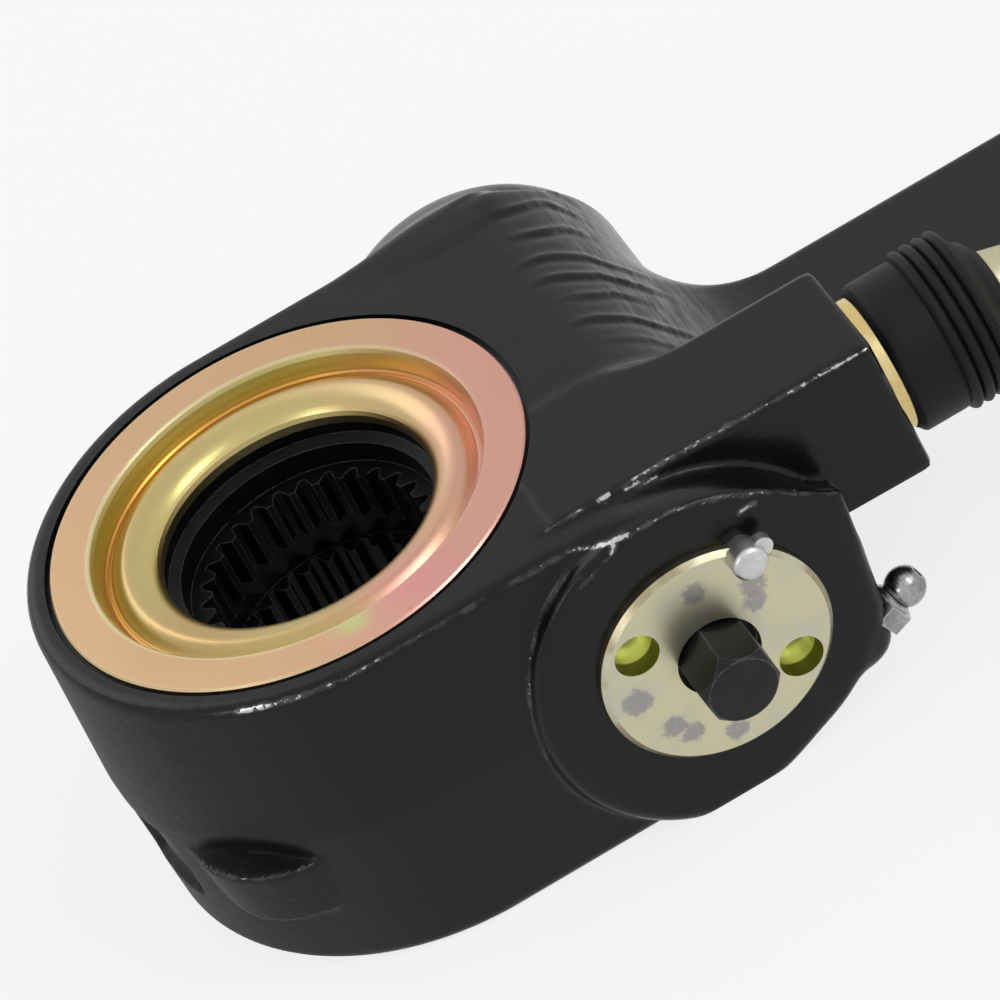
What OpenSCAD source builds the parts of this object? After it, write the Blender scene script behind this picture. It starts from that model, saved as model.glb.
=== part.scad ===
// Automatic brake slack adjuster.
// Millimetres. The camshaft axis is Z, the worm axis is parallel to Y, and the arm points along +X.
// The origin is the middle of the splined hole, level with the worm axis.

/* [Body] */
// Outer radius of the round barrel at its top and bottom
barrel_r = 42.1; // [41.7:0.1:43]
// Extra radius at half height, where the forging dies part
draft = 1.2; // [0.6:0.1:1.6]
// Height of the body along the camshaft axis
body_h = 56; // [55:1:60]
// Rounding of the body's edges
edge_r = 1.8; // [1.2:0.2:3]
// Distance from the camshaft axis to the face round the retainer
near_face = 45.6; // [44.8:0.1:47]
// Distance from the camshaft axis to the closed end of the worm boss
far_face = 55.6; // [52:0.2:60]
// Radius of the worm boss round the retainer
near_boss_r = 27.4; // [26.5:0.1:27.8]
// Radius of the worm boss at its closed end
far_boss_r = 25.2; // [24:0.2:26.4]
// Rounding of the closed end
far_round = 9; // [6:1:12]

/* [Arm] */
// Distance from the camshaft axis to the clevis pin
arm_length = 139.7; // [130:0.1:165]
// Sideways offset of the eye
eye_offset = 0; // [0:0.5:3]
// Width of the arm
arm_w = 24.4; // [22:0.2:25]
// Thickness of the arm
arm_t = 20; // [16:1:22]
// Radius of the eye
eye_r = 16; // [14:0.5:18]
// Thickness of the eye
eye_t = 20; // [18:1:21]
// Bore for the clevis pin
clevis_bore_r = 6.4; // [6.2:0.05:7]
// Wall of the bush in the eye
arm_bush_wall = 2.6; // [1.5:0.1:3.5]
// Radius of the hollow between the worm boss and the arm
arm_fillet_r = 16; // [14:1:20]

/* [Worm gear] */
// Module of the worm gear
gear_module = 2.5; // [2.45:0.01:2.55]
// Teeth of the worm wheel
wheel_teeth = 24; // [24]
// Pitch radius of the worm
worm_pitch_r = 12.5; // [12.3:0.1:12.7]
// Length of the worm
worm_length = 28; // [24:1:28]
// Play between the worm's thread and the wheel's teeth
worm_play = 0.8; // [0.6:0.05:1]
// Radius of the wheel's lower journal
wheel_journal_r = 29; // [26:0.5:30]

/* [Camshaft splines] */
// Number of splines
spline_count = 28; // [28]
// Radius at the bottom of the spline grooves
spline_major_r = 19.05; // [18.8:0.05:19.3]
// Radius at the tips of the splines
spline_minor_r = 17.1; // [16.9:0.05:17.3]
// Radius of the plain hole above the splines
counterbore_r = 20.6; // [20:0.1:21.2]

/* [Cover plate] */
// Outer radius of the cover plate
cover_r = 38; // [37:0.2:38.4]
// Radius of the opening
opening_r = 21.9; // [21.4:0.1:22.4]
// Radius where the flat rim ends
rim_inner_r = 31.7; // [31:0.1:32.2]
// Sheet thickness of the cover plate
cover_t = 1.4; // [1.1:0.1:1.7]
// Depth of the pressed groove
groove_depth = 3.8; // [3:0.1:4]
// Depth of the crest of the inner bead
bead_depth = 1.9; // [1.5:0.1:2.4]
// Depth of the lip round the opening
lip_depth = 4.85; // [4.4:0.05:5.2]

/* [Retainer and shaft] */
// Radius of the bearing retainer
retainer_r = 18.2; // [17.6:0.1:18.6]
// How far the retainer stands out of the face
retainer_proud = 1.9; // [1.2:0.1:2.4]
// Thickness of the retainer
retainer_t = 7.8; // [7:0.1:8]
// Radius of the two spanner holes
spanner_r = 3.5; // [2.8:0.1:3.6]
// Distance of the spanner holes from the worm axis
spanner_circle_r = 13.4; // [12.6:0.1:13.6]
// Depth of the spanner holes
spanner_depth = 5; // [3:0.5:6]
// Turn of the spanner holes about the worm axis
spanner_turn = 37; // [0:1:60]
// Width across the flats of the adjusting hex
hex_flats = 11.11; // [10:0.1:11.2]
// How far the hex stands out of the retainer
hex_length = 8.9; // [6:0.1:12]
// Radius of the shaft in the retainer
journal_r = 6.5; // [6.45:0.05:6.6]
// Radius of the shaft behind the retainer
shaft_r = 5.5; // [5:0.1:5.6]
// Radius of the lock pin's head
lock_head_r = 2.8; // [2.4:0.1:3]
// How far the lock pin stands out of the face
lock_proud = 5; // [4.2:0.1:6]

/* [Rack] */
// Module of the rack and pinion
rack_module = 1.5; // [1.45:0.01:1.53]
// Teeth of the pinion
pinion_teeth = 12; // [12]
// Distance from the camshaft axis to the rack's axis, toward the retainer
rack_y = 26.15; // [25.8:0.05:26.6]
// Height of the rack's axis above the worm axis
rack_z = 14.85; // [14.6:0.05:15]
// Radius of the rack plunger
plunger_r = 7.5; // [7.3:0.05:7.7]
// Distance from the camshaft axis to the rack boss's end face
rack_boss_end = 83.2; // [81:0.1:85]
// Width of the rack boss
rack_boss_w = 21.9; // [21:0.1:23]
// Travel of the rack
rack_travel = 10; // [6:0.5:10]

/* [Sleeve and boot] */
// Radius of the sleeve's collar
sleeve_collar_r = 10.8; // [10.4:0.1:11.4]
// Radius of the sleeve under the boot
sleeve_neck_r = 9.9; // [9.7:0.1:10.2]
// Gap between the boss and the boot that shows the sleeve
sleeve_show = 2.7; // [2:0.1:3.5]
// Outer radius of the boot's plain collar
boot_collar_r = 12.25; // [11.8:0.05:12.6]
// Length of the boot's plain collar
boot_collar_l = 7.5; // [6.5:0.1:8]
// Outer radius of the boot's ribs
boot_rib_r = 13.1; // [12.8:0.05:13.6]
// Number of ribs
boot_ribs = 4; // [3:1:5]
// Distance from rib to rib
rib_pitch = 2; // [1.7:0.05:2.1]
// Radius of the boot's mouth
boot_mouth_r = 7.5; // [7.3:0.05:7.8]

/* [Link rod] */
// Radius of the rod at the boot's mouth
rod_r = 6.9; // [6.5:0.05:7]
// Radius of the rod's neck inside the boot
rod_neck_r = 4.6; // [4:0.1:4.8]
// Distance from the camshaft axis to the link's eye
link_eye_x = 136; // [130:0.5:145]
// Radius of the link's eye
link_eye_r = 8; // [7:0.1:9]
// Thickness of the link's eye
link_eye_t = 8; // [6:0.5:9]
// Bore for the link's clevis pin
link_bore_r = 3.2; // [3:0.05:3.5]
// Radius of the pin that joins the link and the rack
link_pin_r = 2.5; // [2:0.1:2.6]

/* [Grease fitting] */
// Width across the flats of the fitting's hex
fitting_flats = 7.2; // [6.5:0.1:8]
// Radius of the fitting's head
fitting_head_r = 3.2; // [3:0.1:3.4]
// Upward tilt of the fitting
fitting_tilt = 23; // [16:1:28]
// Radius of the check ball
ball_r = 1.25; // [1.1:0.05:1.35]

/* [Fits] */
// Radial clearance of a shaft in its bore
running = 0.06; // [0.04:0.01:0.08]
// Clearance of a piece in its seat
seat = 0.03; // [0.02:0.01:0.05]
// Clearance between faces that pass each other
free = 0.3; // [0.25:0.05:0.35]

/* [Hidden] */
$fn = 64;

// Worm gear: pitch, radii and the axis of the worm
top_z = body_h / 2;
wheel_pitch_r = gear_module * wheel_teeth / 2;
worm_x = wheel_pitch_r + worm_pitch_r;
lead = PI * gear_module;
lead_angle = atan(lead / (2 * PI * worm_pitch_r));
worm_tip_r = worm_pitch_r + gear_module;
worm_root_r = worm_pitch_r - 1.2 * gear_module;
wheel_tip_r = wheel_pitch_r + gear_module;
hob_tip_r = worm_tip_r + free;
pressure_angle = 20;
tooth_space_angle = pressure_angle + 90 / wheel_teeth;
thread_half = lead / 4 - worm_play / 2;
space_half = lead / 4 + 0.28;
cavity_r = worm_tip_r + 2 * free;

// Worm wheel and its seats along Z
rim_bottom = -12.5;
rim_top = top_z - 6.5;
wheel_bottom = 6 - top_z;
spline_top = rim_top - 6.7;
relief_top = 6;
relief_bottom = 0;
spline_bottom = -14;
relief_r = spline_major_r + 0.6;
wheel_seat = rim_bottom - free;
rear_seat = wheel_bottom - 2.4;
rear_seal_w = 5.1;
rear_lip = 1;
rear_opening_r = wheel_journal_r - rear_seal_w - rear_lip;
cover_well_r = rim_inner_r + 2.2;

// Shaft, clutch and retainer along Y, from the retainer's front face inward
retainer_front = near_face + retainer_proud;
retainer_back = retainer_front - retainer_t;
washer_t = 0.9;
washer_w = 6;
gap = 0.1;
drum_front = retainer_back - washer_t - 2 * gap;
drum_back = 35;
drum_pin_y = (drum_front + drum_back) / 2;
drum_pin_r = 1.5;
pinion_w = 10;
pinion_front = rack_y + pinion_w / 2;
pinion_back = rack_y - pinion_w / 2;
hub_r = 6.6;
coil_inner_r = hub_r + 0.25;
coil_w = 0.9;
coil_h = 1.1;
coil_turns = 5;
worm_end = worm_length / 2;
stack_start = worm_end + washer_t + 2 * gap;
disc_t = 0.9;
disc_w = 8;
disc_cone = 0.6;
disc_count = 3;
stack_end = stack_start + disc_count * (disc_t + disc_cone + gap);
bush_wall = 2.5;
bush_length = 16;
shaft_end = stack_end + bush_length;
hex_recess = 2;

// Rack, sleeve and boot along X
pinion_pitch_r = rack_module * pinion_teeth / 2;
rack_pitch = PI * rack_module;
rack_tip = pinion_pitch_r - 0.68 * rack_module;
rack_root = pinion_pitch_r + 1.25 * rack_module;
rack_play = 0.08;
rack_start = worm_x - rack_travel - 3;
rack_bore_start = rack_start - 0.5;
plunger_end = rack_boss_end - 2.6;
link_pin_x = plunger_end - 6;
slot_start = link_pin_x - 8;
tongue_t = 6.4;
tongue_r = 5;
slot_t = tongue_t + 2 * free;
sleeve_depth = 18;
sleeve_start = rack_boss_end - sleeve_depth;
sleeve_wall = 1.6;
sleeve_bore_r = plunger_r + running;
sleeve_r = sleeve_bore_r + sleeve_wall;
sleeve_mouth_r = sleeve_bore_r + 0.9;
boot_start = rack_boss_end + sleeve_show;
sleeve_end = boot_start + boot_collar_l - 1.5;
rib_start = boot_start + boot_collar_l;
rib_end = rib_start + boot_ribs * rib_pitch;
boot_end = rib_end + 3.7;
boot_wall = 1.5;
rack_boss_bottom = 2;
rack_boss_near = rack_y + rack_boss_w / 2;
rack_boss_far = rack_y - rack_boss_w / 2;

// Lock pin and grease fitting
lock_turn = 56.3;
lock_circle_r = retainer_r - 0.9;
lock_r = 2.3;
lock_depth = 2.9;
pad_x = worm_x + 26.7;
pad_lean = 3;
fitting_y = -41;
fitting_z = -14.8;
fitting_base = worm_x + 24.1;
fitting_thread_r = 2.9;
fitting_length = 9.4;
fitting_foot = -5.5;
ball_seat = fitting_length - 1;
ball_mouth_r = 0.72 * ball_r;
ball_z = ball_seat - sqrt(ball_r * ball_r - ball_mouth_r * ball_mouth_r) - seat;
ball_travel = 0.6;

// Points on an arc from angle a0 to a1
function arc(x, y, r, a0, a1, n = 8) = [
    for (i = [0 : n]) let (a = a0 + (a1 - a0) * i / n) [x + r * cos(a), y + r * sin(a)]
];

// Value between a and b that leaves and arrives level
function eased(a, b, t) = a + (b - a) * (1 - cos(180 * t)) / 2;

// Turn a shape built along Z so that it runs along X
module along_x() {
    rotate([0, 90, 0]) children();
}

// Turn a shape built along Z so that it runs along Y
module along_y() {
    rotate([-90, 0, 0]) children();
}

// Ring or tube from z0 to z1
module tube(outer, inner, z0, z1) {
    translate([0, 0, z0]) difference() {
        cylinder(r = outer, h = z1 - z0);
        translate([0, 0, -1]) cylinder(r = inner, h = z1 - z0 + 2);
    }
}

// Plain rod from z0 to z1
module rod(r, z0, z1) {
    translate([0, 0, z0]) cylinder(r = r, h = z1 - z0);
}

// Place a shape built along Z on the worm axis, with its Z as Y
module on_worm_axis() {
    translate([worm_x, 0, 0]) along_y() children();
}

// Place a shape built along Z on the rack axis, with its Z as X
module on_rack_axis() {
    translate([0, -rack_y, rack_z]) along_x() children();
}

// Place a shape built along Z on the lock pin's axis, with its Z as -Y
module on_lock_axis() {
    across = lock_circle_r * cos(lock_turn);
    up = lock_circle_r * sin(lock_turn);
    translate([worm_x + across, -near_face, up]) rotate([90, 0, 0]) children();
}

// Place a shape built along Z on the grease fitting's axis
module on_fitting_axis() {
    translate([fitting_base, fitting_y, fitting_z]) rotate([0, 90 - fitting_tilt, 0]) children();
}

// Half outline of the body from bottom to top: width w at the ends, wider at half height
function drafted_side(w) = concat(
    arc(w - edge_r, edge_r - top_z, edge_r, -90, 0),
    [[w + draft, 0]],
    arc(w - edge_r, top_z - edge_r, edge_r, 0, 90)
);

// Round barrel with rounded edges
module barrel() {
    rotate_extrude($fn = 128) polygon(concat([[0, -top_z]], drafted_side(barrel_r), [[0, top_z]]));
}

// Straight-sided part of the body between the barrel and the worm boss
module shoulder_block() {
    side = drafted_side(barrel_r - 0.3);
    reach = 2 * (barrel_r + draft);
    flank = worm_x + far_boss_r - 0.5;
    corner_r = 22;
    intersection() {
        rotate([90, 0, 90]) linear_extrude(flank) polygon(concat(
            side,
            [for (i = [len(side) - 1 : -1 : 0]) [-side[i].x, side[i].y]]
        ));
        along_y() linear_extrude(reach, center = true) polygon(concat(
            [[0, top_z], [0, -top_z]],
            arc(flank - corner_r, corner_r - top_z, corner_r, -90, 0, 14),
            arc(flank - corner_r, top_z - corner_r, corner_r, 0, 90, 14)
        ));
    }
}

// Boss round the worm, with a rounded closed end
module worm_boss() {
    step_y = -rack_y;
    near_round = 2;
    on_worm_axis() rotate_extrude($fn = 128) polygon(concat(
        [[0, -near_face]],
        arc(near_boss_r - near_round, near_round - near_face, near_round, -90, 0, 5),
        [[near_boss_r, step_y], [far_boss_r, step_y + 6]],
        arc(far_boss_r - far_round, far_face - far_round, far_round, 0, 90, 10),
        [[0, far_face]]
    ));
}

// Square boss that carries the rack
module rack_boss() {
    far_corner = 3;
    near_corner = 0.8;
    translate([0, 0, rack_boss_bottom]) linear_extrude(top_z - rack_boss_bottom) polygon(concat(
        [[worm_x, -rack_boss_near]],
        arc(rack_boss_end - near_corner, near_corner - rack_boss_near, near_corner, -90, 0, 4),
        arc(rack_boss_end - far_corner, -rack_boss_far - far_corner, far_corner, 0, 90, 6),
        [[worm_x, -rack_boss_far]]
    ));
}

// Flat arm with its eye
module arm() {
    root_x = worm_x + 12;
    waist_x = 92;
    waist_near = -12.8;
    near_edge = eye_offset - arm_w / 2;
    far_edge = eye_offset + arm_w / 2;
    fillet_x = worm_x + far_boss_r - 0.8 + arm_fillet_r;
    fillet_y = far_edge + arm_fillet_r;
    translate([0, 0, -arm_t / 2]) linear_extrude(arm_t) polygon(concat(
        [[root_x, waist_near - 16], [rack_boss_end - 3, -rack_boss_far - 1], [waist_x, waist_near]],
        [[arm_length, near_edge], [arm_length, far_edge]],
        arc(fillet_x, fillet_y, arm_fillet_r, 270, 180, 12),
        [[root_x, fillet_y]]
    ));
    translate([arm_length, eye_offset, -eye_t / 2]) cylinder(r = eye_r, h = eye_t);
}

// Pad that the grease fitting screws into
module fitting_pad() {
    pad_top = 14.5;
    pad_bottom = -18;
    lean = (pad_top - pad_bottom) * tan(pad_lean);
    translate([0, 1 - near_face, 0]) rotate([-90, 0, 0]) linear_extrude(near_face - 28) polygon([
        [worm_x + 10, -pad_top],
        [pad_x, -pad_top],
        [pad_x - lean, -pad_bottom],
        [pad_x - lean - 4, -pad_bottom + 2.5],
        [worm_x + 10, -pad_bottom + 2.5]
    ]);
}

// Forged lug low on the barrel
module barrel_lug() {
    lug_turn = -136;
    lug_reach = barrel_r - 12;
    lug_top_r = 16.5;
    lug_bottom_r = 13;
    lug_h = 13;
    lug_top = -4;
    rotate([0, 0, lug_turn]) translate([lug_reach, 0, lug_top - lug_h])
        cylinder(r1 = lug_bottom_r, r2 = lug_top_r, h = lug_h);
}

// Rod from point p to point q
module rod_between(p, q, r) {
    way = q - p;
    translate(p) rotate([0, acos(way.z / norm(way)), atan2(way.y, way.x)]) rod(r, 0, norm(way));
}

// Threaded hole and flat seat of the fitting, and the grease way from there to the worm
module grease_way() {
    way_r = 1.2;
    seat_r = fitting_flats / 2 / cos(30) + free;
    back = fitting_foot * cos(fitting_tilt);
    drop = fitting_foot * sin(fitting_tilt);
    foot = [fitting_base + back, fitting_y, fitting_z + drop];
    on_fitting_axis() rod(fitting_thread_r + seat, fitting_foot - 0.5, 1);
    on_fitting_axis() rod(seat_r, 0, fitting_length);
    rod_between(foot, [worm_x + 0.7 * cavity_r, 4 - retainer_back, -0.6 * cavity_r], way_r);
}

module housing() {
    beyond = 2;
    color([0.07, 0.07, 0.075]) difference() {
        union() {
            barrel();
            shoulder_block();
            worm_boss();
            rack_boss();
            arm();
            fitting_pad();
            barrel_lug();
        }
        rod(wheel_tip_r + running, wheel_seat, top_z + beyond);
        rod(cover_well_r, rim_top + free, top_z + beyond);
        rod(cover_r + 0.8, top_z - cover_t, top_z + beyond);
        rod(wheel_journal_r + running, rear_seat, 0);
        rod(rear_opening_r, -top_z - beyond, 0);
        on_worm_axis() rod(cavity_r, -retainer_back - beyond, stack_end);
        on_worm_axis() rod(retainer_r + seat, -near_face - beyond, -retainer_back);
        on_worm_axis() rod(shaft_r + running + bush_wall + seat, 0, shaft_end + beyond);
        on_rack_axis() rod(plunger_r + running, rack_bore_start, rack_boss_end);
        on_rack_axis() rod(sleeve_r + seat, sleeve_start, rack_boss_end + beyond);
        translate([arm_length, eye_offset, 0]) rod(clevis_bore_r + arm_bush_wall + seat, -eye_t, eye_t);
        on_lock_axis() rod(lock_r + seat, -lock_depth, beyond);
        grease_way();
    }
}

module arm_bush() {
    color([0.55, 0.5, 0.4]) translate([arm_length, eye_offset, 0])
        tube(clevis_bore_r + arm_bush_wall, clevis_bore_r, -eye_t / 2, eye_t / 2);
}

// Depth of the cover plate's upper face below the rim at radius r
function cover_depth(r) =
    let (groove_r = rim_inner_r - 1.7, bead_r = rim_inner_r - 5.2)
    r >= rim_inner_r ? 0 :
    r >= groove_r ? eased(groove_depth, 0, (r - groove_r) / (rim_inner_r - groove_r)) :
    r >= bead_r ? eased(bead_depth, groove_depth, (r - bead_r) / (groove_r - bead_r)) :
    let (t = (bead_r - r) / (bead_r - opening_r))
    bead_depth + (lip_depth - bead_depth) * (1 - sqrt(1 - 0.96 * t * t)) / 0.8;

module cover_plate() {
    steps = 36;
    radii = [for (i = [0 : steps]) rim_inner_r + 0.3 - (rim_inner_r + 0.3 - opening_r) * i / steps];
    upper = [for (r = radii) [r, top_z - cover_depth(r)]];
    lower = [for (i = [steps : -1 : 0]) [radii[i], top_z - cover_depth(radii[i]) - cover_t]];
    color([0.75, 0.58, 0.35]) rotate_extrude($fn = 128) polygon(concat(
        [[cover_r, top_z - cover_t], [cover_r, top_z - 0.3], [cover_r - 0.3, top_z]],
        upper,
        lower
    ));
}

module front_seal() {
    groove_r = rim_inner_r - 1.7;
    color([0.1, 0.1, 0.1])
        tube(groove_r + 1, groove_r - 1, rim_top + free, top_z - groove_depth - cover_t - 0.05);
}

module rear_seal() {
    color([0.1, 0.1, 0.1]) tube(wheel_journal_r, wheel_journal_r - rear_seal_w, rear_seat, wheel_bottom - free);
}

// Outline of the hole with all its spline grooves
module spline_outline() {
    tip_half = 1.35;
    groove_half = 0.45;
    tip_a = asin(tip_half / spline_minor_r);
    groove_a = asin(groove_half / spline_major_r);
    polygon([for (i = [0 : spline_count - 1]) let (a = 360 * i / spline_count) each [
        spline_minor_r * [cos(a - tip_a), sin(a - tip_a)],
        spline_major_r * [cos(a - groove_a), sin(a - groove_a)],
        spline_major_r * [cos(a + groove_a), sin(a + groove_a)],
        spline_minor_r * [cos(a + tip_a), sin(a + tip_a)]
    ]]);
}

// Ring that cuts one tooth space as the worm's thread sweeps past
module tooth_space() {
    inner_r = worm_x - wheel_tip_r - 0.4;
    slope = tan(tooth_space_angle);
    inner_half = space_half + (worm_pitch_r - inner_r) * slope;
    outer_half = space_half + (worm_pitch_r - hob_tip_r) * slope;
    translate([worm_x, 0, 0]) rotate([-lead_angle, 0, 0]) along_y() rotate_extrude() polygon([
        [inner_r, -inner_half],
        [hob_tip_r, -outer_half],
        [hob_tip_r, outer_half],
        [inner_r, inner_half]
    ]);
}

module worm_wheel() {
    step_r = counterbore_r + 1.6;
    color([0.12, 0.12, 0.13]) difference() {
        rotate_extrude($fn = 128) polygon([
            [relief_r + 0.4, wheel_bottom],
            [wheel_journal_r, wheel_bottom],
            [wheel_journal_r, rim_bottom],
            [wheel_tip_r, rim_bottom],
            [wheel_tip_r, rim_top],
            [step_r, rim_top],
            [step_r, rim_top - 2],
            [counterbore_r, rim_top - 2.9],
            [counterbore_r, spline_top],
            [10, spline_top],
            [10, spline_bottom],
            [relief_r + 0.4, spline_bottom]
        ]);
        translate([0, 0, spline_bottom - 1])
            linear_extrude(spline_top - spline_bottom + 2) spline_outline();
        rod(relief_r, relief_bottom, relief_top);
        for (i = [0 : wheel_teeth - 1]) rotate([0, 0, 360 * i / wheel_teeth]) tooth_space();
    }
}

module worm_shaft() {
    hex_r = hex_flats / 2 / cos(30);
    hex_end = retainer_front + hex_length;
    hex_start = retainer_front - hex_recess;
    hex_turn = 20;
    bevel = 2.2;
    past = 0.3;
    color([0.1, 0.1, 0.11]) difference() {
        on_worm_axis() union() {
            rod(shaft_r, -retainer_back - gap, shaft_end);
            rod(journal_r, -hex_start, -retainer_back);
            intersection() {
                translate([0, 0, -hex_end]) rotate([0, 0, hex_turn])
                    cylinder(r = hex_r, h = hex_end - hex_start, $fn = 6);
                rotate_extrude() polygon([
                    [0, -hex_end],
                    [hex_flats / 2 - 0.2, -hex_end],
                    [hex_r + past, bevel - hex_end],
                    [hex_r + past, -hex_start],
                    [0, -hex_start]
                ]);
            }
        }
        translate([worm_x, -drum_pin_y, 0]) rod(drum_pin_r + seat, -2 * shaft_r, 2 * shaft_r);
    }
}

// Corners of the worm's thread at one step along its helix
function thread_section(k, steps, turns) =
    let (
        t = k / steps,
        a = (t - 0.5) * turns * 360,
        y = lead * a / 360,
        run_in = min(1, min(t, 1 - t) * turns * 6),
        tip = worm_root_r + 0.3 + (worm_tip_r - worm_root_r - 0.3) * run_in,
        foot = worm_root_r - 0.5,
        slope = tan(pressure_angle),
        tip_half = thread_half + (worm_pitch_r - tip) * slope,
        foot_half = thread_half + (worm_pitch_r - foot) * slope
    )
    [
        [-foot * cos(a), y + foot_half, foot * sin(a)],
        [-tip * cos(a), y + tip_half, tip * sin(a)],
        [-tip * cos(a), y - tip_half, tip * sin(a)],
        [-foot * cos(a), y - foot_half, foot * sin(a)]
    ];

// Faces of a bar with four corners at each of n + 1 sections
function bar_faces(n) = concat(
    [[0, 1, 2, 3]],
    [for (k = [0 : n - 1], j = [0 : 3]) let (a = 4 * k + j, b = 4 * k + (j + 1) % 4)
        each [[a, a + 4, b + 4], [a, b + 4, b]]],
    [[4 * n + 3, 4 * n + 2, 4 * n + 1, 4 * n]]
);

module worm() {
    turns = (worm_length - 6) / lead;
    steps = ceil(24 * turns);
    color([0.35, 0.35, 0.37]) difference() {
        union() {
            on_worm_axis() rod(worm_root_r, -worm_end, worm_end);
            translate([worm_x, 0, 0]) polyhedron(
                points = [for (k = [0 : steps]) each thread_section(k, steps, turns)],
                faces = bar_faces(steps)
            );
        }
        on_worm_axis() rod(shaft_r + seat, -worm_end - 1, worm_end + 1);
    }
}

module clutch_drum() {
    color([0.4, 0.4, 0.42]) difference() {
        on_worm_axis() tube(hub_r, shaft_r + seat, -drum_front, -drum_back - gap);
        translate([worm_x, -drum_pin_y, 0]) rod(drum_pin_r + seat, -2 * hub_r, 2 * hub_r);
    }
}

module drum_pin() {
    color([0.6, 0.6, 0.62]) translate([worm_x, -drum_pin_y, 0])
        rod(drum_pin_r, free - hub_r, hub_r - free);
}

module clutch_spacer() {
    color([0.5, 0.45, 0.3]) on_worm_axis()
        tube(shaft_r + 1.7, shaft_r + running, gap - pinion_back, -worm_end - gap);
}

// Half-angle of a pinion tooth at radius r
function involute_half(r) =
    let (
        base_r = pinion_pitch_r * cos(pressure_angle),
        roll = sqrt(max(0, pow(r / base_r, 2) - 1)),
        here = roll * 180 / PI - atan(roll),
        at_pitch = tan(pressure_angle) * 180 / PI - pressure_angle,
        pitch_half = 90 / pinion_teeth - rack_play / pinion_pitch_r * 180 / PI
    )
    pitch_half + at_pitch - here;

// Outline of the pinion with one tooth pointing along +Y
module pinion_outline() {
    base_r = pinion_pitch_r * cos(pressure_angle);
    tip_r = pinion_pitch_r + rack_module;
    root_r = pinion_pitch_r - 1.2 * rack_module;
    flank = [for (i = [0 : 4]) base_r + (tip_r - base_r) * i / 4];
    polygon([for (i = [0 : pinion_teeth - 1]) let (a = 90 - 360 * i / pinion_teeth) each concat(
        [root_r * [cos(a + involute_half(base_r)), sin(a + involute_half(base_r))]],
        [for (r = flank) r * [cos(a + involute_half(r)), sin(a + involute_half(r))]],
        [for (j = [4 : -1 : 0]) let (b = a - involute_half(flank[j])) flank[j] * [cos(b), sin(b)]],
        [root_r * [cos(a - involute_half(base_r)), sin(a - involute_half(base_r))]]
    )]);
}

module pinion() {
    color([0.45, 0.45, 0.47]) difference() {
        union() {
            translate([worm_x, -pinion_back, 0]) rotate([90, 0, 0])
                linear_extrude(pinion_w) pinion_outline();
            on_worm_axis() rod(hub_r, -drum_back, -pinion_back - 1);
        }
        on_worm_axis() rod(shaft_r + running, -drum_back - 1, 1 - pinion_back);
    }
}

// Corners of the wrap spring's wire at one step along the coil
function coil_section(k, steps) =
    let (
        a = 360 * coil_turns * k / steps,
        first = pinion_front + coil_w / 2 + free,
        last = drum_front - coil_w / 2 - free,
        y = -(first + (last - first) * k / steps),
        outer_r = coil_inner_r + coil_h
    )
    [
        [coil_inner_r * cos(a), y - coil_w / 2, coil_inner_r * sin(a)],
        [outer_r * cos(a), y - coil_w / 2, outer_r * sin(a)],
        [outer_r * cos(a), y + coil_w / 2, outer_r * sin(a)],
        [coil_inner_r * cos(a), y + coil_w / 2, coil_inner_r * sin(a)]
    ];

module clutch_spring() {
    steps = 24 * coil_turns;
    color([0.55, 0.55, 0.58]) translate([worm_x, 0, 0]) polyhedron(
        points = [for (k = [0 : steps]) each coil_section(k, steps)],
        faces = bar_faces(steps)
    );
}

module retainer_washer() {
    color([0.5, 0.45, 0.3]) on_worm_axis()
        tube(shaft_r + washer_w, shaft_r + running, -retainer_back + gap / 2, -drum_front - gap / 2);
}

module worm_washer() {
    color([0.5, 0.45, 0.3]) on_worm_axis()
        tube(shaft_r + washer_w, shaft_r + running, worm_end + gap, worm_end + gap + washer_t);
}

module disc_springs() {
    inner = shaft_r + free;
    outer = shaft_r + disc_w;
    color([0.5, 0.5, 0.52]) on_worm_axis() for (i = [0 : disc_count - 1]) {
        rise = i % 2 == 0 ? 0 : disc_cone;
        drop = disc_cone - rise;
        translate([0, 0, stack_start + i * (disc_t + disc_cone + gap)]) rotate_extrude() polygon([
            [inner, rise],
            [outer, drop],
            [outer, drop + disc_t],
            [inner, rise + disc_t]
        ]);
    }
}

module worm_bush() {
    color([0.6, 0.5, 0.3]) on_worm_axis()
        tube(shaft_r + running + bush_wall, shaft_r + running, stack_end + gap, shaft_end);
}

module bearing_retainer() {
    rim_chamfer = 0.8;
    front_bore_r = journal_r + 0.1;
    groove_y = retainer_back + 1.4;
    seal_y = retainer_back + 0.9;
    color([0.72, 0.7, 0.5]) difference() {
        on_worm_axis() difference() {
            rotate_extrude($fn = 128) polygon([
                [journal_r + running, -retainer_back],
                [retainer_r, -retainer_back],
                [retainer_r, rim_chamfer - retainer_front],
                [retainer_r - rim_chamfer, -retainer_front],
                [front_bore_r, -retainer_front],
                [front_bore_r, hex_recess - retainer_front],
                [journal_r + running, hex_recess - retainer_front]
            ]);
            tube(retainer_r + 1, retainer_r - 1.6, -seal_y - 1.8, -seal_y);
            tube(journal_r + 1.6, journal_r - 1, -groove_y - 1.6, -groove_y);
            for (side = [0, 180]) rotate([0, 0, spanner_turn + side])
                translate([spanner_circle_r, 0, -retainer_front - 1])
                cylinder(r = spanner_r, h = spanner_depth + 1);
        }
        on_lock_axis() rod(lock_r + seat, -lock_depth, 10);
    }
}

module shaft_seal() {
    groove_y = retainer_back + 1.4;
    color([0.1, 0.1, 0.1]) on_worm_axis()
        tube(journal_r + 1.6 - seat, journal_r + running, -groove_y - 1.6 + seat, -groove_y - seat);
}

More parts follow.
